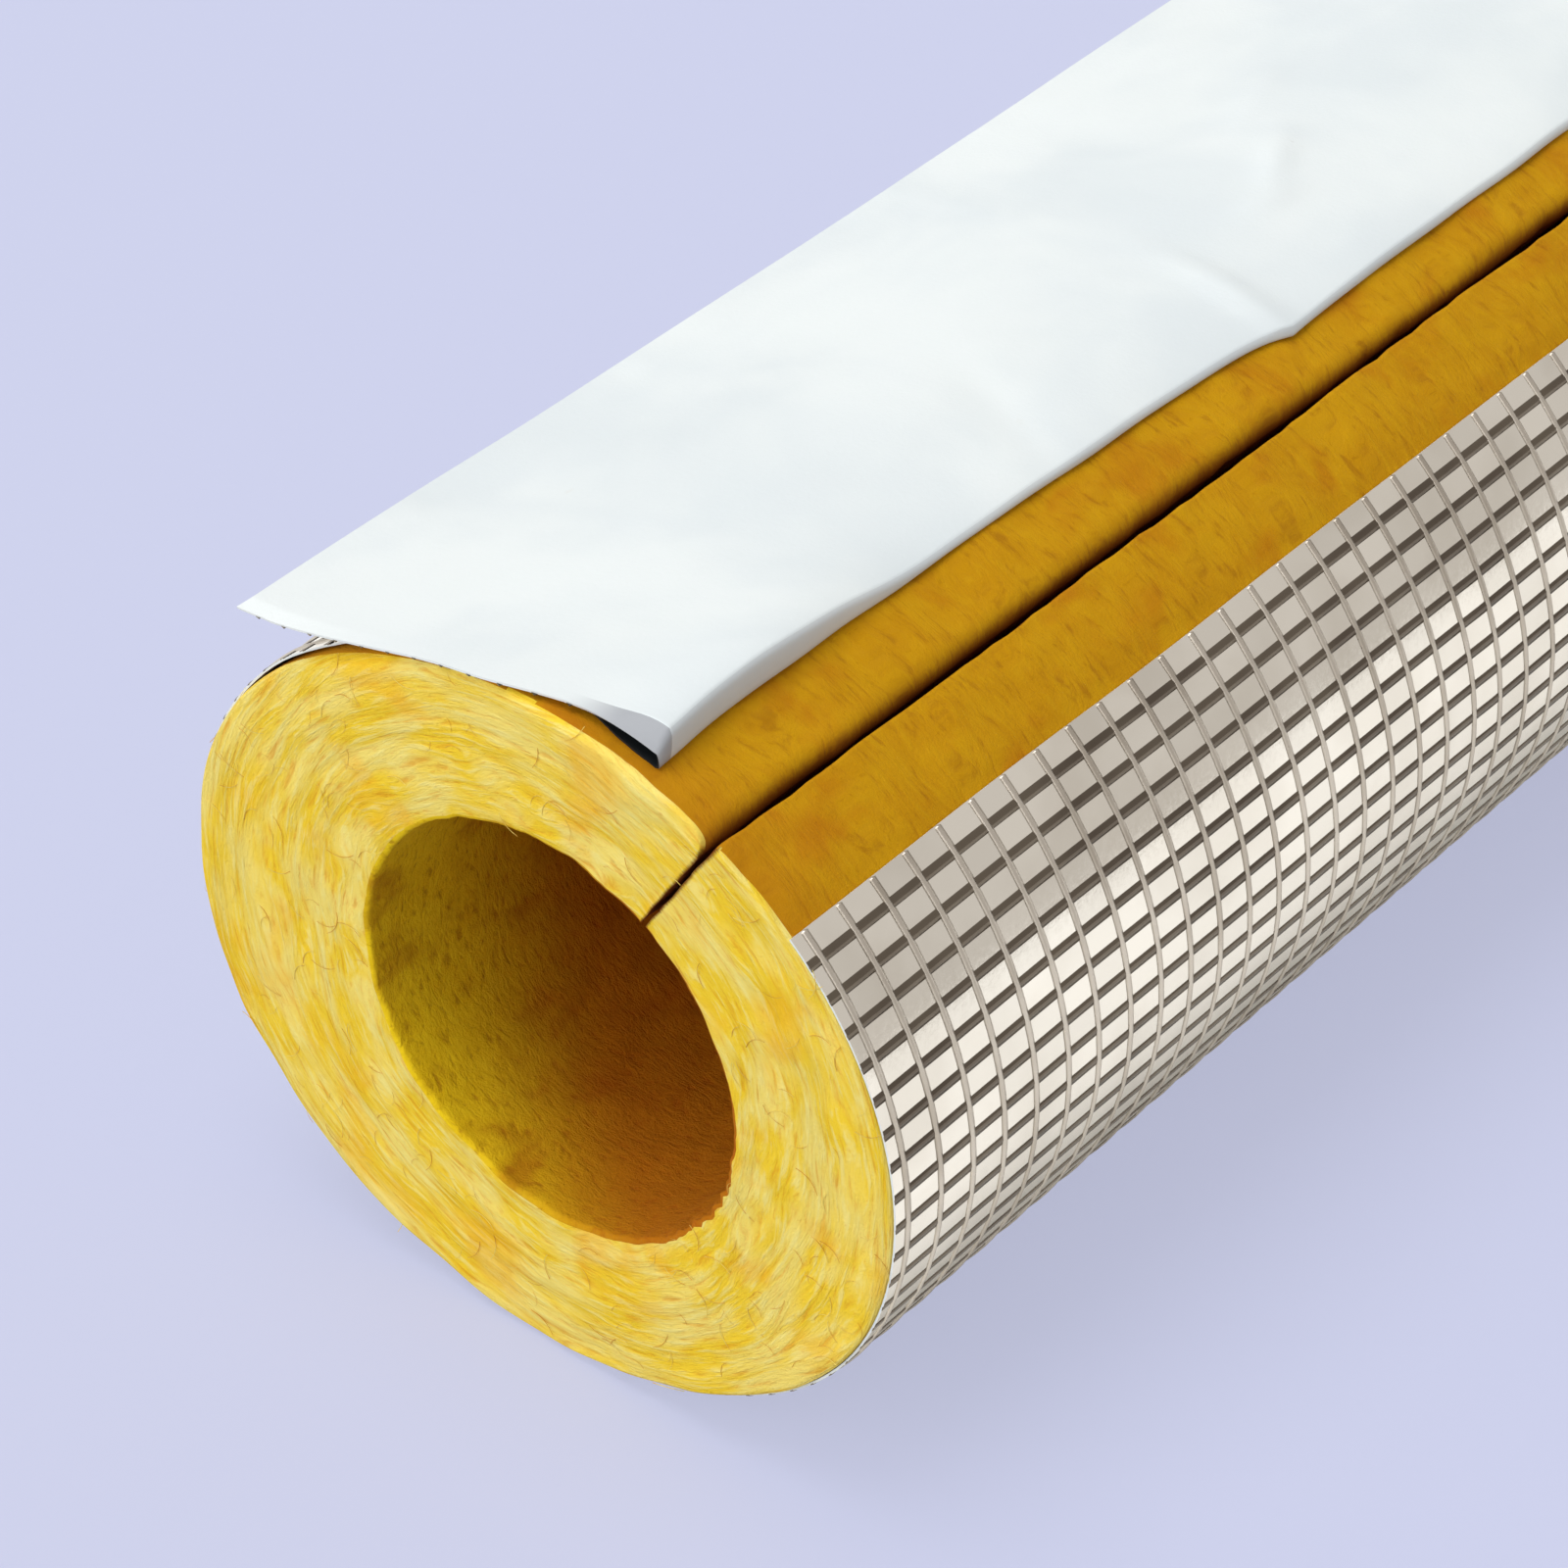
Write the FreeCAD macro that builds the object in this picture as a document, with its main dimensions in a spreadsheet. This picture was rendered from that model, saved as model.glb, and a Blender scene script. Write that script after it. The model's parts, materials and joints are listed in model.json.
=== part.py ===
import FreeCAD, Part
import math
import os
import Sketcher

# One stock length of preformed pipe insulation, lying on its side.
#   wool_shell   the moulded glass-wool tube, slit through its wall along its whole length
#   foil_facing  the bonded foil-and-paper sheet: the jacket round the wool, and the lap that is folded
#                back at its hinge, over the crest and clear of the shell on the far side from the slit
# Frame: origin on the bore's axis at the near end face, +Y along the bore, +Z up, +X to the slit's side.
# The soft wool has settled where it lies, so the outside is an oval of four arcs that meet at its shoulders,
# while the bore is round. The outside's centre is a little off the bore's axis.
# Directions on the section are read from straight up towards +X.

DIMENSIONS = (
    ("length", 1000.0, "one stock length"),
    ("bore_radius", 30.5, "slides on pipe of 60.3 mm outside diameter"),
    ("wall", 25.0, "nominal thickness of the wool"),
    ("settling", 3.0, "the outside's half width over the nominal radius, and its half height under it"),
    ("shoulder_angle", 36.0, "direction in which the flatter top and bottom arcs meet the side arcs"),
    ("shell_shift_across", -2.6, "the outside's centre from the bore's axis, along X"),
    ("shell_shift_up", -1.4, "the outside's centre from the bore's axis, along Z"),
    ("slit_angle", 32.5, "direction of the slit from the bore's axis"),
    ("slit_width", 0.8, "gap between the two cut faces"),
    ("soft_lip_round", 2.0, "rounded outer lip on the lap's side of the slit"),
    ("crisp_lip_round", 0.4, "outer lip on the other side of the slit"),
    ("glue_line", 0.1, "adhesive between wool and facing"),
    ("facing_thickness", 0.3, "foil, scrim and paper together"),
    ("bonded_edge_angle", 42.0, "direction of the bonded edge, on the side arc past the slit"),
    ("hinge_angle", 17.0, "direction of the lap's fold, on the top arc"),
    ("fold_radius", 1.2, "inside radius of the fold"),
    ("lap_width", 68.0, "from the fold to the lap's free edge"),
    ("lap_flattening", 11.0, "the lap's radius over the jacket's, so that its free edge stands off"),
    ("lap_set_back", 2.0, "lap's near edge from the near end face"),
)

doc = FreeCAD.newDocument("pipe_insulation")
sizes = doc.addObject("Spreadsheet::Sheet", "Sizes")
for row, (alias, value, note) in enumerate(DIMENSIONS, start=1):
    sizes.set(f"A{row}", alias)
    sizes.set(f"B{row}", str(value))
    sizes.set(f"C{row}", note)
    sizes.setAlias(f"B{row}", alias)
doc.recompute()

# Lengths and directions worked out from the driving dimensions, as expressions.
NOMINAL = "(Sizes.bore_radius + Sizes.wall)"
SHOULDER = "(Sizes.shoulder_angle * 1 deg)"
CENTRE_DROP = f"(2 * Sizes.settling / (1 + tan({SHOULDER}) - 1 / cos({SHOULDER})))"
CENTRE_SPREAD = f"({CENTRE_DROP} * tan({SHOULDER}))"
FLAT_RADIUS = f"({NOMINAL} - Sizes.settling + {CENTRE_DROP})"
SIDE_RADIUS = f"({NOMINAL} + Sizes.settling - {CENTRE_SPREAD})"
JACKET_IN = "Sizes.glue_line"
JACKET_OUT = "(Sizes.glue_line + Sizes.facing_thickness)"
HINGE = "(Sizes.hinge_angle * 1 deg)"
FOLD_LEVEL = f"({FLAT_RADIUS} + {JACKET_OUT} + Sizes.fold_radius)"
LAP_UNDERSIDE = f"({FOLD_LEVEL} + Sizes.fold_radius)"
LAP_RADIUS = f"({FLAT_RADIUS} + {JACKET_OUT} + Sizes.lap_flattening)"
FREE_EDGE = f"({HINGE} - Sizes.lap_width / {LAP_RADIUS} * 1 rad)"
SLIT = "(Sizes.slit_angle * 1 deg)"


def value_of(expression):
    """Work out an expression on the sheet as a plain number, with angles in degrees."""
    result = sizes.evalExpression(expression)
    return float(getattr(result, "Value", result))


def point(centre, radius, direction):
    """Give the expressions of a point at a radius and direction from a centre."""
    return (
        f"({centre[0]} + {radius} * sin({direction}))",
        f"({centre[1]} + {radius} * cos({direction}))",
    )


# Centres of the four arcs of the outside.
BORE_AXIS = ("0", "0")
TOP = ("Sizes.shell_shift_across", f"(Sizes.shell_shift_up - {CENTRE_DROP})")
BOTTOM = ("Sizes.shell_shift_across", f"(Sizes.shell_shift_up + {CENTRE_DROP})")
RIGHT = (f"(Sizes.shell_shift_across + {CENTRE_SPREAD})", "Sizes.shell_shift_up")
LEFT = (f"(Sizes.shell_shift_across - {CENTRE_SPREAD})", "Sizes.shell_shift_up")
LAP_CENTRE = point(TOP, f"({LAP_UNDERSIDE} - {LAP_RADIUS})", HINGE)
FOLD_CENTRE = point(TOP, FOLD_LEVEL, HINGE)


class Outline:
    """A closed outline in a section sketch, whose corners and arc centres are driven from the sheet."""

    def __init__(self, body, name, set_back=None):
        """Attach a sketch across the bore, at the near end or set back from it."""
        self.sketch = body.newObject("Sketcher::SketchObject", name)
        plane = next(item for item in body.Origin.OriginFeatures if item.Role == "XZ_Plane")
        self.sketch.AttachmentSupport = [(plane, "")]
        self.sketch.MapMode = "FlatFace"
        if set_back:
            self.sketch.setExpression("AttachmentOffset.Base.z", f"-{set_back}")

    def bind(self, name, expression, constraint):
        """Add a named dimension and drive it from the sheet."""
        index = self.sketch.addConstraint(constraint)
        self.sketch.renameConstraint(index, name)
        self.sketch.setExpression(f"Constraints.{name}", expression)

    def close(self, corners, edges):
        """Draw edges from corner to corner. An edge is None if straight, or (centre, ccw) of an arc."""
        places = [FreeCAD.Vector(value_of(x), value_of(z), 0) for x, z in corners]
        ends = []
        for index, edge in enumerate(edges):
            first = places[index]
            last = places[(index + 1) % len(places)]
            ends.append(self.draw(edge, first, last, f"centre_{index}"))
        for index, (x, z) in enumerate(corners):
            element, start_point = ends[index][0], ends[index][1]
            before = ends[index - 1]
            join = Sketcher.Constraint("Coincident", before[0], before[2], element, start_point)
            self.sketch.addConstraint(join)
            across = Sketcher.Constraint("DistanceX", -1, 1, element, start_point, places[index].x)
            self.bind(f"across_{index}", x, across)
            up = Sketcher.Constraint("DistanceY", -1, 1, element, start_point, places[index].y)
            self.bind(f"up_{index}", z, up)
        return self.sketch

    def draw(self, edge, first, last, name):
        """Draw one edge and give its number and which of its points come first and last."""
        if edge is None:
            return self.sketch.addGeometry(Part.LineSegment(first, last), False), 1, 2
        centre, ccw = edge
        middle = FreeCAD.Vector(value_of(centre[0]), value_of(centre[1]), 0)
        low, high = (first, last) if ccw else (last, first)
        low_angle = math.atan2(low.y - middle.y, low.x - middle.x)
        high_angle = math.atan2(high.y - middle.y, high.x - middle.x)
        if high_angle < low_angle:
            high_angle += 2 * math.pi
        circle = Part.Circle(middle, FreeCAD.Vector(0, 0, 1), middle.distanceToPoint(first))
        element = self.sketch.addGeometry(Part.ArcOfCircle(circle, low_angle, high_angle), False)
        # With its ends held, an arc needs its centre's place along the chord's bisector and no more.
        if abs(last.x - first.x) > abs(last.y - first.y):
            self.bind(name, centre[1], Sketcher.Constraint("DistanceY", -1, 1, element, 3, middle.y))
        else:
            self.bind(name, centre[0], Sketcher.Constraint("DistanceX", -1, 1, element, 3, middle.x))
        return (element, 1, 2) if ccw else (element, 2, 1)

    def circle_at_origin(self, name, radius):
        """Draw a full circle about the bore's axis."""
        circle = Part.Circle(FreeCAD.Vector(), FreeCAD.Vector(0, 0, 1), value_of(radius))
        element = self.sketch.addGeometry(circle, False)
        self.sketch.addConstraint(Sketcher.Constraint("Coincident", element, 3, -1, 1))
        self.bind(name, radius, Sketcher.Constraint("Radius", element, value_of(radius)))


def new_body(label):
    """Add an empty body whose label names its file."""
    body = doc.addObject("PartDesign::Body", label)
    body.Label = label
    body.Placement = FreeCAD.Placement()
    return body


def pad(body, sketch, name, length):
    """Extrude a section towards +Y."""
    feature = body.newObject("PartDesign::Pad", name)
    feature.Profile = sketch
    feature.Reversed = True
    feature.setExpression("Length", length)
    doc.recompute()
    return feature


def shell_arcs(offset):
    """Give the centre and radius of each of the outside's arcs, moved outwards by an offset."""
    flat = f"({FLAT_RADIUS} + {offset})"
    side = f"({SIDE_RADIUS} + {offset})"
    return (RIGHT, side), (BOTTOM, flat), (LEFT, side), (TOP, flat)


def make_wool_shell():
    """Build the tube, cut its slit and round the slit's two outer lips."""
    body = new_body("wool_shell")
    section = Outline(body, "shell_section")
    right, bottom, left, top = shell_arcs("0")
    corners = [
        point(*right, SHOULDER),
        point(*bottom, f"(180 deg - {SHOULDER})"),
        point(*left, f"(180 deg + {SHOULDER})"),
        point(*top, f"(360 deg - {SHOULDER})"),
    ]
    section.close(corners, [(centre, False) for centre in (RIGHT, BOTTOM, LEFT, TOP)])
    section.circle_at_origin("bore_radius", "Sizes.bore_radius")
    tube = pad(body, section.sketch, "moulded_tube", "Sizes.length")

    slit = Outline(body, "slit_section")
    half = "Sizes.slit_width / 2"
    tip = point(BORE_AXIS, f"({NOMINAL} + Sizes.wall)", SLIT)
    corners = [
        point(BORE_AXIS, half, f"({SLIT} - 90 deg)"),
        point(BORE_AXIS, half, f"({SLIT} + 90 deg)"),
        point(tip, half, f"({SLIT} + 90 deg)"),
        point(tip, half, f"({SLIT} - 90 deg)"),
    ]
    slit.close(corners, [None] * 4)
    cut = body.newObject("PartDesign::Pocket", "slit")
    cut.Profile = slit.sketch
    cut.setExpression("Length", "Sizes.length")
    doc.recompute()
    least_cut = value_of("Sizes.slit_width * Sizes.wall * Sizes.length") / 2
    if cut.Shape.Volume > tube.Shape.Volume - least_cut:
        raise RuntimeError("the slit took too little out of the tube")

    soft = round_lip(body, cut, "soft_lip", -1, "Sizes.soft_lip_round")
    body.Tip = round_lip(body, soft, "crisp_lip", 1, "Sizes.crisp_lip_round")
    doc.recompute()
    return body


def round_lip(body, base, name, side, radius):
    """Round the outer lip of the slit on its lap side (-1) or its other side (1)."""
    direction = math.radians(value_of(SLIT))
    half = value_of("Sizes.slit_width") / 2
    reach = {}
    for index, edge in enumerate(base.Shape.Edges, start=1):
        middle = edge.CenterOfMass
        beside = middle.x * math.cos(direction) - middle.z * math.sin(direction)
        lengthwise = abs(edge.Length - value_of("Sizes.length")) < 1e-6
        if lengthwise and abs(beside - side * half) < 1e-4:
            reach[f"Edge{index}"] = middle.x * math.sin(direction) + middle.z * math.cos(direction)
    fillet = body.newObject("PartDesign::Fillet", name)
    fillet.Base = (base, [max(reach, key=reach.get)])
    fillet.setExpression("Radius", radius)
    doc.recompute()
    return fillet


def make_foil_facing():
    """Build the jacket round the wool, then the fold and the lap that hangs back from it."""
    body = new_body("foil_facing")
    bonded_edge = "(Sizes.bonded_edge_angle * 1 deg)"
    turns = [bonded_edge, f"(180 deg - {SHOULDER})", f"(180 deg + {SHOULDER})", f"(360 deg - {SHOULDER})"]
    jacket = Outline(body, "jacket_section")
    outside = shell_arcs(JACKET_OUT)
    inside = shell_arcs(JACKET_IN)
    outer_corners = [point(*arc, turn) for arc, turn in zip(outside, turns)]
    inner_corners = [point(*arc, turn) for arc, turn in zip(inside, turns)]
    corners = [
        *outer_corners,
        point(*outside[-1], HINGE),
        point(*inside[-1], HINGE),
        *reversed(inner_corners),
    ]
    edges = [
        *[(centre, False) for centre in (RIGHT, BOTTOM, LEFT, TOP)],
        None,
        *[(centre, True) for centre in (TOP, LEFT, BOTTOM, RIGHT)],
        None,
    ]
    jacket.close(corners, edges)
    pad(body, jacket.sketch, "jacket", "Sizes.length")

    lap = Outline(body, "lap_section", set_back="Sizes.lap_set_back")
    thickness = "Sizes.facing_thickness"
    corners = [
        point(TOP, f"({FLAT_RADIUS} + {JACKET_OUT})", HINGE),
        point(TOP, LAP_UNDERSIDE, HINGE),
        point(LAP_CENTRE, LAP_RADIUS, FREE_EDGE),
        point(LAP_CENTRE, f"({LAP_RADIUS} + {thickness})", FREE_EDGE),
        point(TOP, f"({LAP_UNDERSIDE} + {thickness})", HINGE),
        point(TOP, f"({FLAT_RADIUS} + {JACKET_IN})", HINGE),
    ]
    edges = [
        (FOLD_CENTRE, True),
        (LAP_CENTRE, True),
        None,
        (LAP_CENTRE, False),
        (FOLD_CENTRE, False),
        None,
    ]
    lap.close(corners, edges)
    body.Tip = pad(body, lap.sketch, "folded_lap", "Sizes.length - Sizes.lap_set_back")
    doc.recompute()
    return body


def check_document():
    """Stop on any object that failed to compute, or a loose sketch."""
    for item in doc.Objects:
        if "Invalid" in item.State or "Error" in item.State:
            raise RuntimeError(f"{item.Label} did not compute: {item.State}")
        if item.TypeId == "Sketcher::SketchObject" and not item.FullyConstrained:
            raise RuntimeError(f"{item.Label} is not fully constrained")


def write_parts(bodies):
    """Check each sub-part's shape and write it under its own label."""
    for body in bodies:
        shape = body.Shape
        if shape.isNull() or not shape.isValid() or len(shape.Solids) != 1:
            raise RuntimeError(f"{body.Label} is not one valid solid")
    os.makedirs("parts", exist_ok=True)
    for body in bodies:
        body.Shape.exportStep(os.path.join("parts", f"{body.Label}.step"))
        box = body.Shape.BoundBox
        low = f"{box.XMin:.2f} {box.YMin:.2f} {box.ZMin:.2f}"
        high = f"{box.XMax:.2f} {box.YMax:.2f} {box.ZMax:.2f}"
        print(f"{body.Label}: {body.Shape.Volume / 1000:.1f} cm3, from {low} to {high}")


parts = [make_wool_shell(), make_foil_facing()]
check_document()
write_parts(parts)
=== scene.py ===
"""The looks of one length of glass wool pipe insulation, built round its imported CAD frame.

The wool sleeve is a lattice of rings with a cut end face, a bare outer strip, a bore and one slit.
The foil facing is one thin sheet: a jacket round the sleeve, a fold beside the slit and a lap laid
back over the jacket with its paper side up. Scrim threads and loose fibres are made by Geometry
Nodes. Everything is in metres, in the frame of the CAD model: the origin is on the bore's axis at
the near end, +Y runs along the bore and +Z is up.
"""

import json
import logging
import math
from dataclasses import dataclass, field
from enum import Enum

import bmesh
import bpy
import numpy as np
from mathutils import Matrix, Vector


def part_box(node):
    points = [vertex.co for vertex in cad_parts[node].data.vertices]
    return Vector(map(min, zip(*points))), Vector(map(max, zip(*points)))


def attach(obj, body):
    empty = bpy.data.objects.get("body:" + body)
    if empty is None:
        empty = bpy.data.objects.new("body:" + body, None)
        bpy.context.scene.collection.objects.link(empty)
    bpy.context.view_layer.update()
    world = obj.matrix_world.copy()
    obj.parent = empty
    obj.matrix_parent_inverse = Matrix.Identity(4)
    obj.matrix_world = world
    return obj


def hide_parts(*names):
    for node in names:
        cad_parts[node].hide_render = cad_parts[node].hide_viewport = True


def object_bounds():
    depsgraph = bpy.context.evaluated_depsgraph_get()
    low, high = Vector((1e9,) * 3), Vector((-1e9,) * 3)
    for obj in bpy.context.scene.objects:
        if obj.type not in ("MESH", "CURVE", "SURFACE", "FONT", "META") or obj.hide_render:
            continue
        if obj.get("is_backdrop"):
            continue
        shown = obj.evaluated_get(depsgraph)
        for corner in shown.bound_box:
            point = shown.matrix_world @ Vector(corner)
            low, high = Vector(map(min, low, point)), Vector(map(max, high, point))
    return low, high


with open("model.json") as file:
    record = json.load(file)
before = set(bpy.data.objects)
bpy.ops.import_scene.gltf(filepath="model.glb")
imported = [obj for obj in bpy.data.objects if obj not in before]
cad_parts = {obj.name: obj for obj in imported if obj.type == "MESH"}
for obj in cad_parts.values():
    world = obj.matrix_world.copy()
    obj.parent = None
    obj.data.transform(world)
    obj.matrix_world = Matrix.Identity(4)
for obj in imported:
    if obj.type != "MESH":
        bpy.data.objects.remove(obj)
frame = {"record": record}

LOG = logging.getLogger("pipe_insulation")
UV_NAME = "run"
MM = 0.001
FINE_LENGTH = 215 * MM
BODY = "root"


# ---------------------------------------------------------------------------------------------
# Small helpers
# ---------------------------------------------------------------------------------------------


def tint(code: str) -> tuple[float, float, float, float]:
    """Turn a written colour into the linear values that a shader socket takes.

    Args:
        code: Six hexadecimal digits, such as "e4ce52".

    Returns:
        Red, green, blue and alpha, linear.
    """
    parts = [int(code[i : i + 2], 16) / 255 for i in (0, 2, 4)]
    linear = [p / 12.92 if p <= 0.04045 else ((p + 0.055) / 1.055) ** 2.4 for p in parts]
    return (linear[0], linear[1], linear[2], 1.0)


def smooth(x: np.ndarray, low: float, high: float) -> np.ndarray:
    """Rise smoothly from 0 at low to 1 at high.

    Args:
        x: Where to work it out.
        low: Where the rise starts.
        high: Where the rise ends.

    Returns:
        The share, from 0 to 1, for each x.
    """
    t = np.clip((x - low) / (high - low), 0.0, 1.0)
    return t * t * (3 - 2 * t)


def quarter_round(distance: np.ndarray, radius: np.ndarray) -> np.ndarray:
    """Say how far a rounded edge falls below the corner's two faces.

    Args:
        distance: How far each point lies from the corner.
        radius: The round's radius there.

    Returns:
        The fall, which is the radius at the corner and 0 past the round.
    """
    inside = np.clip(radius - distance, 0.0, radius)
    return radius - np.sqrt(np.maximum(radius**2 - inside**2, 0.0))


@dataclass(frozen=True)
class Ripples:
    """A smooth random field: a fixed sum of waves, the same at every run."""

    wavelength: float
    seed: int
    count: int = 28
    spread: float = 0.55

    def at(self, *axes: np.ndarray) -> np.ndarray:
        """Work the field out at points.

        Args:
            axes: One array for each axis, in the wavelength's own unit.

        Returns:
            Values of about -1 to 1.
        """
        rng = np.random.default_rng(self.seed)
        direction = rng.normal(size=(self.count, len(axes)))
        direction /= np.linalg.norm(direction, axis=1, keepdims=True)
        pace = rng.uniform(1 - self.spread, 1 + self.spread, self.count) / self.wavelength
        phase = rng.uniform(0, 2 * math.pi, self.count)
        total = np.zeros(np.broadcast(*axes).shape)
        for d, p, f in zip(direction, pace, phase):
            total += np.cos(2 * math.pi * p * sum(k * a for k, a in zip(d, axes)) + f)
        return total * math.sqrt(2 / self.count) / 1.6


def mesh_object(name: str, points: np.ndarray, quads: np.ndarray) -> bpy.types.Object:
    """Make a linked mesh object at the origin.

    Args:
        name: The piece's name.
        points: Rows of x, y, z in metres.
        quads: Rows of four vertex numbers.

    Returns:
        The new object.
    """
    mesh = bpy.data.meshes.new(name)
    mesh.vertices.add(len(points))
    mesh.vertices.foreach_set("co", points.astype(np.float32).ravel())
    mesh.loops.add(quads.size)
    mesh.loops.foreach_set("vertex_index", quads.astype(np.int32).ravel())
    mesh.polygons.add(len(quads))
    mesh.polygons.foreach_set("loop_start", np.arange(0, quads.size, 4, dtype=np.int32))
    mesh.update(calc_edges=True)
    mesh.validate()
    piece = bpy.data.objects.new(name, mesh)
    bpy.context.scene.collection.objects.link(piece)
    return piece


def join_grid(grid: np.ndarray, flip: bool) -> np.ndarray:
    """Join a grid of vertex numbers into quads.

    Args:
        grid: Rows by columns of vertex numbers.
        flip: Whether the faces look the other way.

    Returns:
        Rows of four vertex numbers.
    """
    a, b, c, d = grid[:-1, :-1], grid[1:, :-1], grid[1:, 1:], grid[:-1, 1:]
    order = (a, d, c, b) if flip else (a, b, c, d)
    return np.stack(order, axis=-1).reshape(-1, 4)


def dress(
    piece: bpy.types.Object,
    materials: list[bpy.types.Material],
    chosen: np.ndarray | None = None,
) -> None:
    """Give a piece its materials and smooth shading.

    Args:
        piece: The object to dress.
        materials: The materials, in slot order.
        chosen: The slot number of each face, or None for the first slot everywhere.
    """
    for material in materials:
        piece.data.materials.append(material)
    piece.data.polygons.foreach_set("use_smooth", np.ones(len(piece.data.polygons), bool))
    if chosen is not None:
        piece.data.polygons.foreach_set("material_index", chosen.astype(np.int32))
    piece.data.update()


def lay_out(piece: bpy.types.Object, corners: np.ndarray) -> None:
    """Write the piece's own map, which the patterns follow.

    Args:
        piece: The object.
        corners: Rows of u, v in metres, one for each face corner.
    """
    layer = piece.data.uv_layers.new(name=UV_NAME)
    layer.data.foreach_set("uv", corners.astype(np.float32).ravel())


def settle(piece: bpy.types.Object) -> bpy.types.Object:
    """Turn a piece's evaluated form into a plain mesh and drop its modifiers.

    Args:
        piece: An object with live modifiers.

    Returns:
        The same object, with a plain mesh.
    """
    bpy.context.view_layer.update()
    evaluated = piece.evaluated_get(bpy.context.evaluated_depsgraph_get())
    made = bpy.data.meshes.new_from_object(evaluated)
    piece.modifiers.clear()
    old = piece.data
    piece.data = made
    bpy.data.meshes.remove(old)
    made.name = piece.name
    return piece


def report(piece: bpy.types.Object) -> None:
    """Log one finished piece with its size in triangles."""
    triangles = sum(len(p.vertices) - 2 for p in piece.data.polygons)
    LOG.info("%s: %d triangles", piece.name, triangles)


# ---------------------------------------------------------------------------------------------
# The sleeve's outline
# ---------------------------------------------------------------------------------------------


@dataclass(frozen=True)
class Oval:
    """The sleeve's settled outside: a flatter arc above and below, a rounder arc at each side."""

    half_width: float
    half_height: float
    centre_x: float
    centre_z: float
    shoulder: float = math.radians(36.0)

    @property
    def drop(self) -> float:
        """How far the upper arc's centre lies below the middle."""
        rise = 1 + math.tan(self.shoulder) - 1 / math.cos(self.shoulder)
        return (self.half_width - self.half_height) / rise

    @property
    def spread(self) -> float:
        """How far a side arc's centre lies from the middle."""
        return self.drop * math.tan(self.shoulder)

    @property
    def flat_radius(self) -> float:
        """The upper and lower arcs' radius."""
        return self.half_height + self.drop

    @property
    def side_radius(self) -> float:
        """The side arcs' radius."""
        return self.half_width - self.spread

    def at(self, turn: np.ndarray, lift: np.ndarray | float = 0.0) -> tuple[np.ndarray, np.ndarray]:
        """Give the point whose outward direction is turned from straight up towards +X.

        Args:
            turn: The direction's angle in radians.
            lift: How far the point stands off the outline.

        Returns:
            The x and z of each point.
        """
        s, c = np.sin(turn), np.cos(turn)
        flat = np.abs(s) < math.sin(self.shoulder)
        radius = np.where(flat, self.flat_radius, self.side_radius) + lift
        x = np.where(flat, 0.0, np.sign(s) * self.spread) + radius * s
        z = np.where(flat, -np.sign(c) * self.drop, 0.0) + radius * c
        return x + self.centre_x, z + self.centre_z

    def reach(self, angle: np.ndarray) -> np.ndarray:
        """Give the distance from the bore's axis to the outline, along each direction.

        Args:
            angle: The direction from straight up towards +X, in radians.

        Returns:
            The distance for each direction.
        """
        turns = np.linspace(-math.pi, math.pi, 7201)
        x, z = self.at(turns)
        seen = np.arctan2(x, z)
        order = np.argsort(seen)
        return np.interp(
            np.arctan2(np.sin(angle), np.cos(angle)), seen[order], np.hypot(x, z)[order],
            period=2 * math.pi,
        )

    def turn_seen(self, angle: np.ndarray) -> np.ndarray:
        """Give the outward direction at the outline's point seen from the bore's axis at an angle.

        Args:
            angle: The direction from straight up towards +X, in radians.

        Returns:
            The outward direction's angle, from -pi to pi.
        """
        turns = np.linspace(-math.pi, math.pi, 7201)
        x, z = self.at(turns)
        seen = np.unwrap(np.arctan2(x, z))
        return np.interp(np.arctan2(np.sin(angle), np.cos(angle)), seen, turns)


# ---------------------------------------------------------------------------------------------
# Node building
# ---------------------------------------------------------------------------------------------


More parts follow.
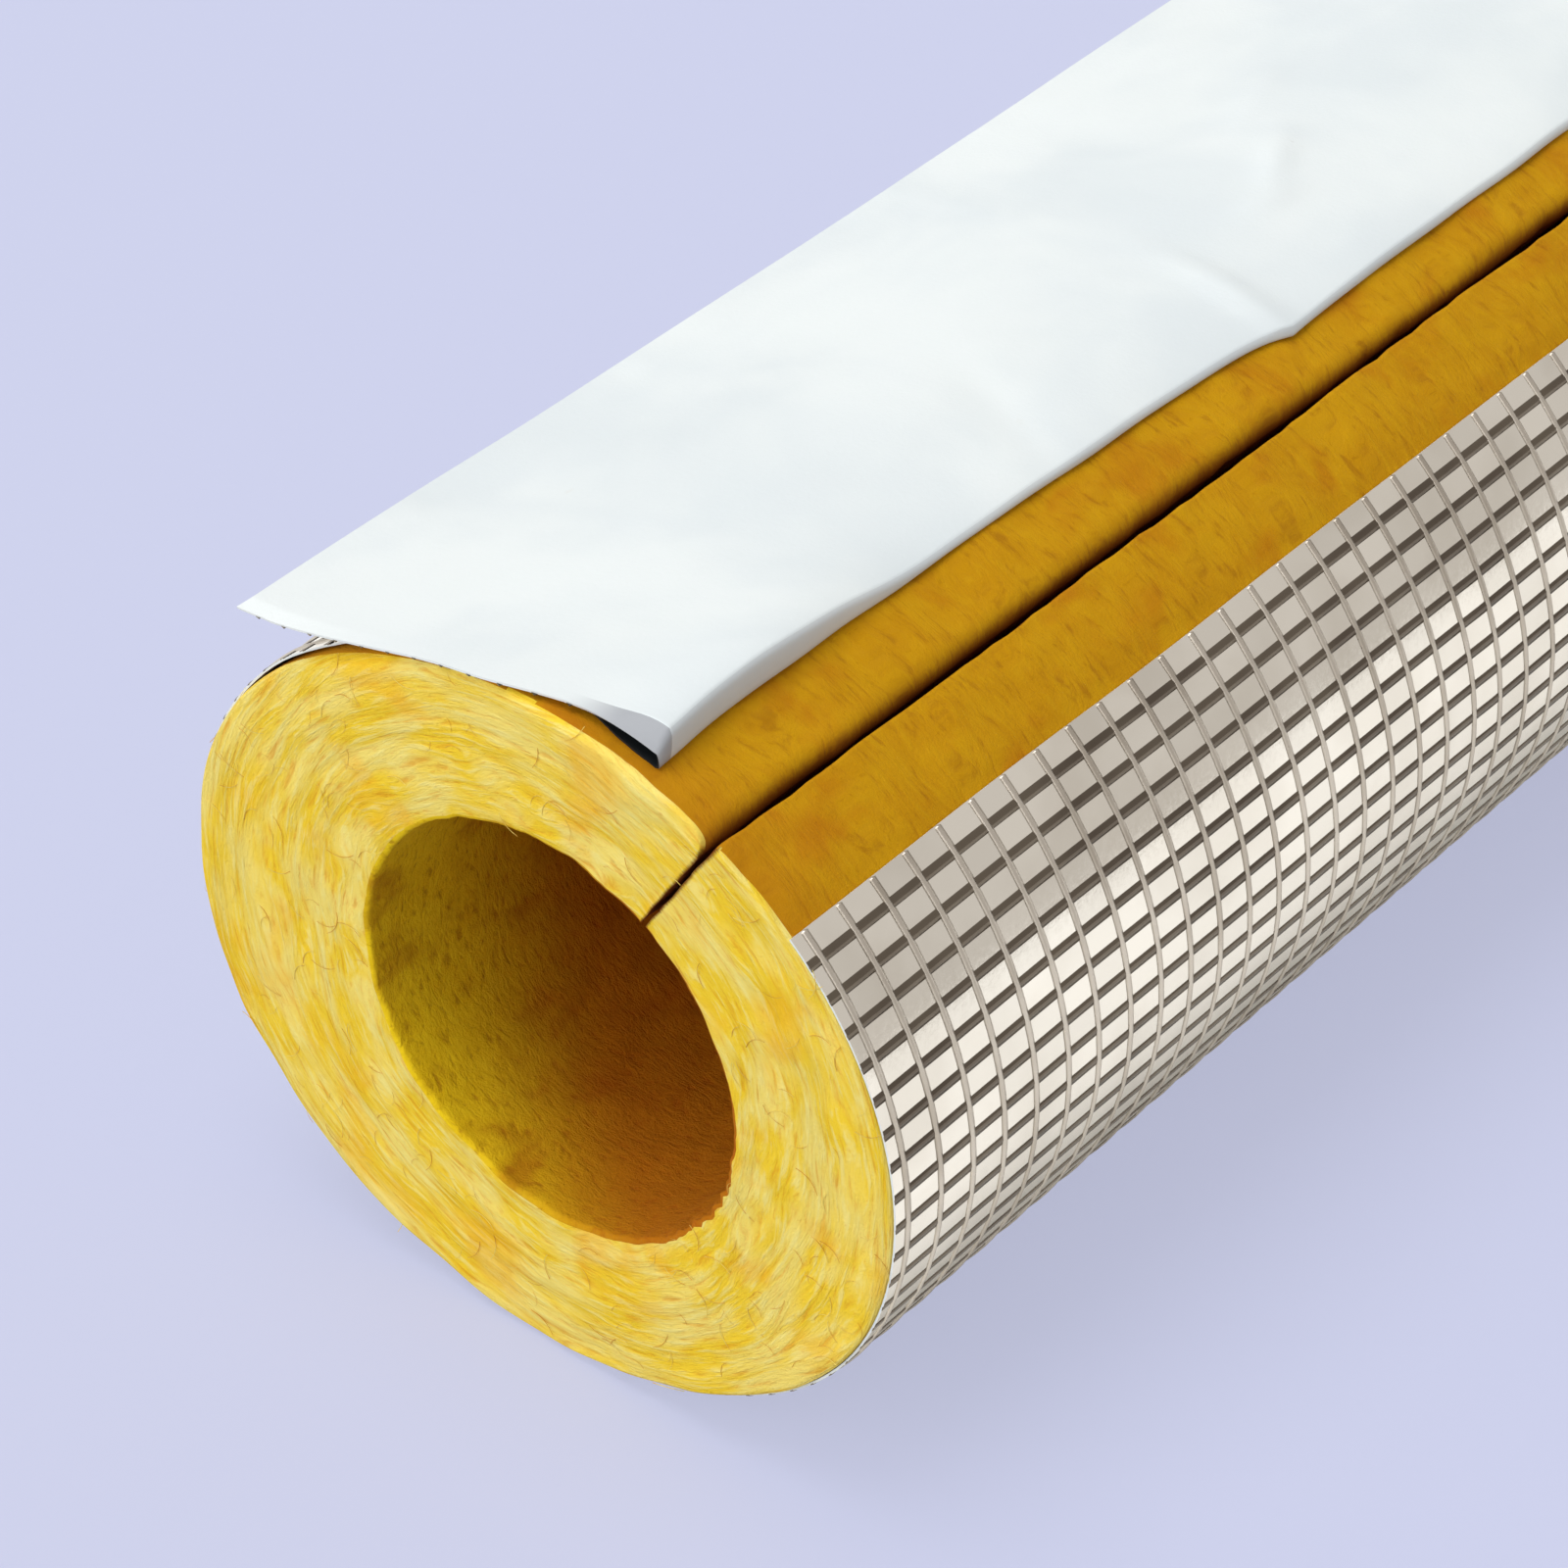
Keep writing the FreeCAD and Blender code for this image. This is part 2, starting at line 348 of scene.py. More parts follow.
class Graph:
    """A short way to place and join nodes in a tree."""

    def __init__(self, tree: bpy.types.NodeTree) -> None:
        """Keep the tree that nodes go into."""
        self.tree = tree

    def node(self, kind: str, **settings: object) -> bpy.types.Node:
        """Place one node.

        Args:
            kind: The node's type name.
            settings: Properties to set on it.

        Returns:
            The node.
        """
        made = self.tree.nodes.new(kind)
        for name, value in settings.items():
            setattr(made, name, value)
        return made

    def feed(self, socket: bpy.types.NodeSocket, value: object) -> None:
        """Join a socket to a value, which is another socket or a constant.

        Args:
            socket: The input to feed.
            value: An output socket, or a constant of the input's kind.
        """
        if isinstance(value, bpy.types.NodeSocket):
            self.tree.links.new(value, socket)
        elif value is not None:
            socket.default_value = value

    def calc(self, operation: str, a: object, b: object = None, c: object = None,
             clamp: bool = False) -> bpy.types.NodeSocket:
        """Place a Math node.

        Args:
            operation: The Math node's operation.
            a: The first input.
            b: The second input, if the operation has one.
            c: The third input, if the operation has one.
            clamp: Whether the result is held from 0 to 1.

        Returns:
            The result's socket.
        """
        made = self.node("ShaderNodeMath", operation=operation, use_clamp=clamp)
        for socket, value in zip(made.inputs, (a, b, c)):
            self.feed(socket, value)
        return made.outputs[0]

    def remap(self, value: object, low: object, high: object, to_low: float = 0.0,
              to_high: float = 1.0, soft: bool = True) -> bpy.types.NodeSocket:
        """Place a Map Range node.

        Args:
            value: What is mapped.
            low: The value that gives to_low.
            high: The value that gives to_high.
            to_low: The result at low.
            to_high: The result at high.
            soft: Whether the rise eases in and out.

        Returns:
            The result's socket.
        """
        kind = "SMOOTHSTEP" if soft else "LINEAR"
        made = self.node("ShaderNodeMapRange", interpolation_type=kind)
        for name, fed in (("Value", value), ("From Min", low), ("From Max", high),
                          ("To Min", to_low), ("To Max", to_high)):
            self.feed(made.inputs[name], fed)
        return made.outputs["Result"]

    def blend(self, share: object, a: object, b: object, kind: str = "MIX") -> bpy.types.NodeSocket:
        """Place a colour Mix node.

        Args:
            share: The share of b, from 0 to 1.
            a: The first colour.
            b: The second colour.
            kind: The blend type.

        Returns:
            The mixed colour's socket.
        """
        made = self.node("ShaderNodeMix", data_type="RGBA", blend_type=kind)
        self.feed(made.inputs["Factor"], share)
        self.feed(made.inputs[6], a)
        self.feed(made.inputs[7], b)
        return made.outputs[2]

    def noise(self, vector: object, scale: object, detail: float = 3.0, roughness: float = 0.5,
              distortion: float = 0.0) -> bpy.types.NodeSocket:
        """Place a Noise texture.

        Args:
            vector: Where it is read.
            scale: Its scale.
            detail: Its detail.
            roughness: Its roughness.
            distortion: Its distortion.

        Returns:
            The factor's socket.
        """
        made = self.node("ShaderNodeTexNoise")
        self.feed(made.inputs["Vector"], vector)
        self.feed(made.inputs["Scale"], scale)
        self.feed(made.inputs["Detail"], detail)
        self.feed(made.inputs["Roughness"], roughness)
        self.feed(made.inputs["Distortion"], distortion)
        return made.outputs["Fac"]

    def vector(self, x: object, y: object, z: object = 0.0) -> bpy.types.NodeSocket:
        """Join three values into a vector."""
        made = self.node("ShaderNodeCombineXYZ")
        for socket, value in zip(made.inputs, (x, y, z)):
            self.feed(socket, value)
        return made.outputs[0]

    def parts(self, vector: object) -> tuple[bpy.types.NodeSocket, ...]:
        """Split a vector into its three values."""
        made = self.node("ShaderNodeSeparateXYZ")
        self.feed(made.inputs[0], vector)
        return tuple(made.outputs)

    def group(self, tree: bpy.types.NodeTree, **values: object) -> bpy.types.Node:
        """Place a node group and feed it.

        Args:
            tree: The group's tree.
            values: Its inputs by name, with underscores for spaces.

        Returns:
            The group's node.
        """
        made = self.node("ShaderNodeGroup", node_tree=tree)
        for name, value in values.items():
            self.feed(made.inputs[name.replace("_", " ")], value)
        return made


class Effects:
    """The shader groups that several finishes share. Each is built once."""

    def __init__(self) -> None:
        """Start with no group built."""
        self.made: dict[str, bpy.types.NodeTree] = {}

    def tree(self, name: str, inputs: dict[str, tuple[str, object]],
             outputs: dict[str, str]) -> tuple[bpy.types.NodeTree, Graph, dict, bpy.types.Node]:
        """Start a group with its named sockets.

        Args:
            name: The group's name.
            inputs: Each input's name, with its socket type and first value.
            outputs: Each output's name, with its socket type.

        Returns:
            The tree, its graph, its input sockets by name and its output node.
        """
        tree = bpy.data.node_groups.new(name, "ShaderNodeTree")
        for label, (kind, value) in inputs.items():
            made = tree.interface.new_socket(label, in_out="INPUT", socket_type=kind)
            if value is not None:
                made.default_value = value
        for label, kind in outputs.items():
            tree.interface.new_socket(label, in_out="OUTPUT", socket_type=kind)
        graph = Graph(tree)
        entry, leave = graph.node("NodeGroupInput"), graph.node("NodeGroupOutput")
        self.made[name] = tree
        return tree, graph, {s.name: s for s in entry.outputs}, leave

    def fibre_grain(self) -> bpy.types.NodeTree:
        """Build the grain of matted glass fibres, stretched along the map's first axis.

        Returns:
            A group giving Streak, Fleck, Cloud and Height.
        """
        if "fibre_grain" in self.made:
            return self.made["fibre_grain"]
        number = "NodeSocketFloat"
        tree, g, given, leave = self.tree(
            "fibre_grain",
            {"Vector": ("NodeSocketVector", None), "Length": (number, 12.0),
             "Thickness": (number, 0.8), "Swirl": (number, 2.0), "Seed": (number, 0.0)},
            {"Streak": number, "Fleck": number, "Cloud": number, "Height": number},
        )
        u, v, _ = g.parts(given["Vector"])
        drift = g.noise(g.vector(g.calc("MULTIPLY", u, 28.0), g.calc("MULTIPLY", v, 90.0),
                                 given["Seed"]), 1.0, 2.0)
        bent = g.calc("ADD", v, g.calc("MULTIPLY", g.calc("SUBTRACT", drift, 0.5),
                                       g.calc("MULTIPLY", given["Swirl"], MM)))
        along = g.calc("DIVIDE", g.calc("MULTIPLY", u, 1000.0), given["Length"])
        across = g.calc("DIVIDE", g.calc("MULTIPLY", bent, 1000.0), given["Thickness"])
        streak = g.noise(g.vector(along, across, g.calc("ADD", given["Seed"], 3.0)), 1.0, 4.0,
                         0.6, 0.35)
        fine = g.noise(g.vector(g.calc("MULTIPLY", along, 3.0), g.calc("MULTIPLY", across, 2.6),
                                g.calc("ADD", given["Seed"], 11.0)), 1.0, 3.0, 0.65, 0.6)
        cloud = g.noise(g.vector(g.calc("MULTIPLY", along, 0.5), g.calc("MULTIPLY", across, 0.16),
                                 g.calc("ADD", given["Seed"], 23.0)), 1.0, 2.0, 0.5, 0.4)
        g.feed(leave.inputs["Streak"], streak)
        g.feed(leave.inputs["Fleck"], fine)
        g.feed(leave.inputs["Cloud"], cloud)
        g.feed(leave.inputs["Height"], g.calc("ADD", g.calc("MULTIPLY", streak, 0.65),
                                              g.calc("MULTIPLY", fine, 0.35)))
        return tree

    def scuff(self) -> bpy.types.NodeTree:
        """Build soft handling marks: a broad cloud, rare small spots and a fine tooth.

        Returns:
            A group giving Cloud, Spots and Tooth.
        """
        if "scuff" in self.made:
            return self.made["scuff"]
        number = "NodeSocketFloat"
        tree, g, given, leave = self.tree(
            "scuff",
            {"Vector": ("NodeSocketVector", None), "Patch": (number, 40.0),
             "Rarity": (number, 0.72), "Grain": (number, 0.4), "Seed": (number, 0.0)},
            {"Cloud": number, "Spots": number, "Tooth": number},
        )
        u, v, w = g.parts(given["Vector"])
        mm = g.vector(g.calc("MULTIPLY", u, 1000.0), g.calc("MULTIPLY", v, 1000.0),
                      g.calc("ADD", g.calc("MULTIPLY", w, 1000.0), given["Seed"]))
        cloud = g.noise(mm, g.calc("DIVIDE", 1.0, given["Patch"]), 3.0, 0.55, 0.3)
        spot = g.noise(mm, g.calc("DIVIDE", 5.0, given["Patch"]), 3.0, 0.6, 0.2)
        tooth = g.noise(mm, g.calc("DIVIDE", 1.0, given["Grain"]), 3.0, 0.6)
        g.feed(leave.inputs["Cloud"], cloud)
        g.feed(leave.inputs["Spots"], g.remap(spot, given["Rarity"],
                                              g.calc("ADD", given["Rarity"], 0.1)))
        g.feed(leave.inputs["Tooth"], tooth)
        return tree


EFFECTS = Effects()


def modifier_tree(
    name: str, inputs: dict[str, str],
) -> tuple[Graph, bpy.types.Node, bpy.types.Node]:
    """Start a Geometry Nodes tree with its named sockets.

    Args:
        name: The tree's name.
        inputs: Each input's name with its socket type, besides the geometry and the material.

    Returns:
        The tree's graph, its input node and its output node.
    """
    tree = bpy.data.node_groups.new(name, "GeometryNodeTree")
    tree.is_modifier = True
    face = tree.interface
    face.new_socket("Geometry", in_out="INPUT", socket_type="NodeSocketGeometry")
    for label, kind in inputs.items():
        face.new_socket(label, in_out="INPUT", socket_type=kind)
    face.new_socket("Material", in_out="INPUT", socket_type="NodeSocketMaterial")
    face.new_socket("Geometry", in_out="OUTPUT", socket_type="NodeSocketGeometry")
    graph = Graph(tree)
    return graph, graph.node("NodeGroupInput"), graph.node("NodeGroupOutput")


def close_tree(g: Graph, made: bpy.types.NodeSocket, entry: bpy.types.Node,
               leave: bpy.types.Node) -> None:
    """End a Geometry Nodes tree with plain, smooth geometry in its material.

    Args:
        g: The tree's graph.
        made: The geometry that the tree has made.
        entry: The tree's input node.
        leave: The tree's output node.
    """
    smoothed = g.node("GeometryNodeSetShadeSmooth")
    g.feed(smoothed.inputs["Geometry"], made)
    real = g.node("GeometryNodeRealizeInstances")
    g.feed(real.inputs["Geometry"], smoothed.outputs["Geometry"])
    coat = g.node("GeometryNodeSetMaterial")
    g.feed(coat.inputs["Geometry"], real.outputs["Geometry"])
    g.feed(coat.inputs["Material"], entry.outputs["Material"])
    g.feed(leave.inputs["Geometry"], coat.outputs["Geometry"])


def grow(piece: bpy.types.Object, tree: bpy.types.NodeTree,
         values: dict[str, object]) -> bpy.types.Object:
    """Run a Geometry Nodes tree on a piece and settle what it makes into a plain mesh.

    Args:
        piece: The object that the tree starts from.
        tree: The tree.
        values: The tree's inputs by name.

    Returns:
        The same object, with a plain mesh.
    """
    modifier = piece.modifiers.new(tree.name, "NODES")
    modifier.node_group = tree
    keys = {s.name: s.identifier for s in tree.interface.items_tree if s.in_out == "INPUT"}
    for label, value in values.items():
        modifier[keys[label]] = value
    return settle(piece)


def blank(name: str) -> tuple[bpy.types.Material, Graph, bpy.types.Node]:
    """Start a material with one Principled shader.

    Args:
        name: The material's name.

    Returns:
        The material, its graph and its shader node.
    """
    material = bpy.data.materials.new(name)
    material.use_nodes = True
    material.node_tree.nodes.clear()
    graph = Graph(material.node_tree)
    shader = graph.node("ShaderNodeBsdfPrincipled")
    out = graph.node("ShaderNodeOutputMaterial")
    graph.feed(out.inputs["Surface"], shader.outputs["BSDF"])
    return material, graph, shader


def own_map(graph: Graph) -> bpy.types.NodeSocket:
    """Read the piece's own map, in metres."""
    return graph.node("ShaderNodeUVMap", uv_map=UV_NAME).outputs["UV"]


def bump(graph: Graph, shader: bpy.types.Node, height: object, depth: float,
         strength: float = 1.0) -> None:
    """Feed a height into the shader's normal.

    Args:
        graph: The material's graph.
        shader: The Principled shader.
        height: The height's socket, of about 0 to 1.
        depth: The depth in metres that a height of 1 stands for.
        strength: How strongly it shows.
    """
    made = graph.node("ShaderNodeBump")
    graph.feed(made.inputs["Strength"], strength)
    graph.feed(made.inputs["Distance"], depth)
    graph.feed(made.inputs["Height"], height)
    graph.feed(shader.inputs["Normal"], made.outputs["Normal"])


# ---------------------------------------------------------------------------------------------
# Finishes
# ---------------------------------------------------------------------------------------------


@dataclass(frozen=True)
class StainAndShadeFade:
    """A colour that fades along the sleeve: full at one distance and gone at another. On the outer
    skin it is a stain; in the bore it is painted shade that deepens inwards.
    """

    colour: str
    full_at: float
    gone_at: float
    share: float
    lean: float = 0.0

    def lay(self, g: Graph, colour: bpy.types.NodeSocket) -> bpy.types.NodeSocket:
        """Lay the fading colour over a colour.

        Args:
            g: The material's graph.
            colour: The colour under it.

        Returns:
            The stained colour.
        """
        x, y, _ = g.parts(g.node("ShaderNodeTexCoord").outputs["Object"])
        y = g.calc("ADD", y, g.calc("MULTIPLY", x, self.lean))
        near = g.remap(y, self.full_at, self.gone_at, 1.0, 0.0)
        return g.blend(g.calc("MULTIPLY", near, self.share), colour, tint(self.colour))


@dataclass(frozen=True)
class PaintedLipShade:
    """Painted shade along the slit, where the map's first axis ends, or at both its ends."""

    colour: str
    end: float
    reach: float
    both: bool = False
    share: float = 0.9

    def lay(self, g: Graph, colour: bpy.types.NodeSocket, run: bpy.types.NodeSocket,
            fleck: bpy.types.NodeSocket) -> bpy.types.NodeSocket:
        """Lay the painted shade over a colour.

        Args:
            g: The material's graph.
            colour: The colour under it.
            run: The piece's own map.
            fleck: The grain that makes the shade's border wander.

        Returns:
            The shaded colour.
        """
        u, _, _ = g.parts(run)
        gap = g.calc("SUBTRACT", self.end, u)
        if self.both:
            gap = g.calc("MINIMUM", gap, u)
        wander = g.calc("MULTIPLY", g.calc("SUBTRACT", fleck, 0.5), self.reach)
        close = g.remap(g.calc("ADD", gap, wander), self.reach, 0.0, 0.0, self.share)
        return g.blend(close, colour, tint(self.colour))


@dataclass(frozen=True)
class WoolFinish:
    """Resin-bonded glass wool on one kind of surface.

    The grain's length and thickness are in millimetres. Its depth is in metres.
    """

    name: str
    base: str
    pale: str
    deep: str
    stain: str
    length: float
    thickness: float
    swirl: float
    depth: float
    stain_share: float = 0.5
    cloud_share: float = 0.6
    streak_share: float = 0.8
    # rim: a stain on the outer skin, painted shade deepening into the bore.
    rim: StainAndShadeFade | None = None
    # lip: painted shade beside the slit.
    lip: PaintedLipShade | None = None
    seed: float = 0.0

    def make(self) -> bpy.types.Material:
        """Build the material.

        Returns:
            The finished material.
        """
        material, g, shader = blank(self.name)
        run = own_map(g)
        grain = g.group(EFFECTS.fibre_grain(), Vector=run, Length=self.length,
                        Thickness=self.thickness, Swirl=self.swirl, Seed=self.seed)
        marks = g.group(EFFECTS.scuff(), Vector=run, Patch=14.0, Rarity=0.6, Grain=0.3,
                        Seed=self.seed)
        streak, fleck, cloud, height = (grain.outputs[n] for n in
                                        ("Streak", "Fleck", "Cloud", "Height"))
        colour = g.blend(g.remap(cloud, 0.38, 0.66, 0.0, self.cloud_share), tint(self.base),
                         tint(self.pale))
        colour = g.blend(g.remap(streak, 0.50, 0.66, 0.0, self.streak_share), colour,
                         tint(self.pale))
        colour = g.blend(g.remap(streak, 0.48, 0.28, 0.0, self.streak_share), colour,
                         tint(self.deep))
        colour = g.blend(g.remap(fleck, 0.60, 0.74, 0.0, 0.35), colour, tint(self.deep))
        colour = g.blend(g.remap(marks.outputs["Cloud"], 0.52, 0.72, 0.0, self.stain_share), colour,
                         tint(self.stain))
        # The rim fade is a stain on the outer skin and painted shade in the bore.
        if self.rim:
            colour = self.rim.lay(g, colour)
        # The lip colour is painted shade beside the slit.
        if self.lip:
            colour = self.lip.lay(g, colour, run, fleck)
        g.feed(shader.inputs["Base Color"], colour)
        g.feed(shader.inputs["Roughness"], g.remap(fleck, 0.3, 0.7, 0.85, 0.97))
        shader.inputs["Specular IOR Level"].default_value = 0.2
        bump(g, shader, g.calc("ADD", height, g.calc("MULTIPLY", marks.outputs["Tooth"], 0.25)),
             self.depth)
        return material


@dataclass(frozen=True)
class PaperFinish:
    """The facing's white paper side, with painted shade on the fold's facet and where its near edge
    droops.
    """

    name: str = "white_kraft_paper"
    base: str = "eaf0f1"
    shade: str = "dde5e9"
    smudge: str = "cdbfa6"
    tooth_depth: float = 0.04 * MM
    # Painted shade: the fold colour greys the fold's facet and the drooping near corner.
    fold: str = "a4a7ad"
    fold_from: float = 0.0
    fold_to: float = 0.0
    painted_fold_shade_share: float = 0.22
    droop: float = 0.0
    painted_droop_shade_share: float = 0.95

    def make(self) -> bpy.types.Material:
        """Build the material.

        Returns:
            The finished material.
        """
        material, g, shader = blank(self.name)
        run = own_map(g)
        marks = g.group(EFFECTS.scuff(), Vector=run, Patch=38.0, Rarity=0.74, Grain=0.55, Seed=4.0)
        fine = g.group(EFFECTS.fibre_grain(), Vector=run, Length=3.0, Thickness=1.2, Swirl=1.0,
                       Seed=9.0)
        colour = g.blend(g.remap(marks.outputs["Cloud"], 0.35, 0.7, 0.0, 0.8), tint(self.base),
                         tint(self.shade))
        colour = g.blend(g.calc("MULTIPLY", marks.outputs["Spots"], 0.10), colour,
                         tint(self.smudge))
        # Painted shade on the fold's facet and on the drooping near corner.
        if self.fold_to:
            u, v, _ = g.parts(run)
            facet = g.calc("MULTIPLY", g.calc("GREATER_THAN", u, self.fold_from),
                           g.calc("LESS_THAN", u, self.fold_to))
            hang = g.calc("MULTIPLY", g.calc("LESS_THAN", v, self.droop),
                          g.remap(u, self.fold_to + 15 * MM, self.fold_to + 6 * MM))
            hang = g.calc("MULTIPLY", hang, g.calc("GREATER_THAN", u, self.fold_from))
            share = g.calc("MAXIMUM", g.calc("MULTIPLY", facet, self.painted_fold_shade_share),
                           g.calc("MULTIPLY", hang, self.painted_droop_shade_share))
            colour = g.blend(share, colour, tint(self.fold))
        g.feed(shader.inputs["Base Color"], colour)
        g.feed(shader.inputs["Roughness"], g.remap(fine.outputs["Fleck"], 0.3, 0.7, 0.52, 0.66))
        shader.inputs["Specular IOR Level"].default_value = 0.35
        bump(g, shader, g.calc("ADD", marks.outputs["Tooth"],
                               g.calc("MULTIPLY", fine.outputs["Height"], 0.5)), self.tooth_depth)
        return material


@dataclass(frozen=True)
class Weave:
    """Where the scrim's threads lie on the flat sheet."""

    first_across: float = 4.0 * MM
    pitch_across: float = 4.7 * MM
    first_along: float = 2.4 * MM
    pitch_along: float = 6.5 * MM


@dataclass(frozen=True)
class FoilFinish:
    """Aluminium foil, on the sheet itself or pressed over a scrim thread."""

    name: str
    base: str
    shade: str
    roughness: float
    depth: float = 0.02 * MM
    seed: float = 0.0
    weave: Weave | None = None
    dull: str = "8c867c"
    dull_share: float = 0.16

    def make(self) -> bpy.types.Material:
        """Build the material.

        Returns:
            The finished material.
        """
        material, g, shader = blank(self.name)
        place = g.node("ShaderNodeTexCoord").outputs["Object"]
        marks = g.group(EFFECTS.scuff(), Vector=place, Patch=22.0, Rarity=0.66, Grain=0.9,
                        Seed=self.seed)
        colour = g.blend(g.remap(marks.outputs["Cloud"], 0.4, 0.65), tint(self.base),
                         tint(self.shade))
        if self.weave:
            u, v, _ = g.parts(own_map(g))
            across = g.calc("SUBTRACT", u, self.weave.first_across)
            across = g.calc("FLOOR", g.calc("DIVIDE", across, self.weave.pitch_across))
            along = g.calc("SUBTRACT", v, self.weave.first_along)
            along = g.calc("FLOOR", g.calc("DIVIDE", along, self.weave.pitch_along))
            pick = g.node("ShaderNodeTexWhiteNoise", noise_dimensions="2D")
            g.feed(pick.inputs["Vector"], g.vector(across, along, 0.0))
            colour = g.blend(g.calc("MULTIPLY", pick.outputs["Value"], self.dull_share), colour,
                             tint(self.dull))
        g.feed(shader.inputs["Base Color"], colour)
        shader.inputs["Metallic"].default_value = 1.0
        g.feed(shader.inputs["Roughness"],
               g.remap(marks.outputs["Tooth"], 0.3, 0.7, self.roughness - 0.03,
                       self.roughness + 0.05))
        bump(g, shader, marks.outputs["Tooth"], self.depth)
        return material


@dataclass(frozen=True)
class FloorFinish:
    """The pale studio floor, whiter where metal reflects it and duller where it lights the part."""

    name: str = "pale_floor"
    base: str = "cdd1ec"
    mirrored: str = "fffefc"
    bounced: str = "a9a9ae"
    glow: float = 0.68

    def make(self) -> bpy.types.Material:
        """Build the material.

        Returns:
            The finished material.
        """
        material, g, shader = blank(self.name)
        rays = g.node("ShaderNodeLightPath")
        colour = g.blend(rays.outputs["Is Diffuse Ray"], tint(self.base), tint(self.bounced))
        g.feed(shader.inputs["Base Color"],
               g.blend(rays.outputs["Is Glossy Ray"], colour, tint(self.mirrored)))
        shader.inputs["Roughness"].default_value = 1.0
        shader.inputs["Specular IOR Level"].default_value = 0.0
        glow = g.node("ShaderNodeEmission")
        glow.inputs["Color"].default_value = tint(self.base)
        join = g.node("ShaderNodeMixShader")
        out = next(n for n in material.node_tree.nodes if n.type == "OUTPUT_MATERIAL")
        g.feed(join.inputs[0], g.calc("MULTIPLY", rays.outputs["Is Camera Ray"], self.glow))
        g.feed(join.inputs[1], shader.outputs["BSDF"])
        g.feed(join.inputs[2], glow.outputs[0])
        g.feed(out.inputs["Surface"], join.outputs[0])
        return material


# ---------------------------------------------------------------------------------------------
# The wool sleeve
# ---------------------------------------------------------------------------------------------


class Surface(Enum):
    """The sleeve's surfaces, in material slot order."""

    CUT = 0
    SKIN = 1
    BORE = 2
    SLIT = 3


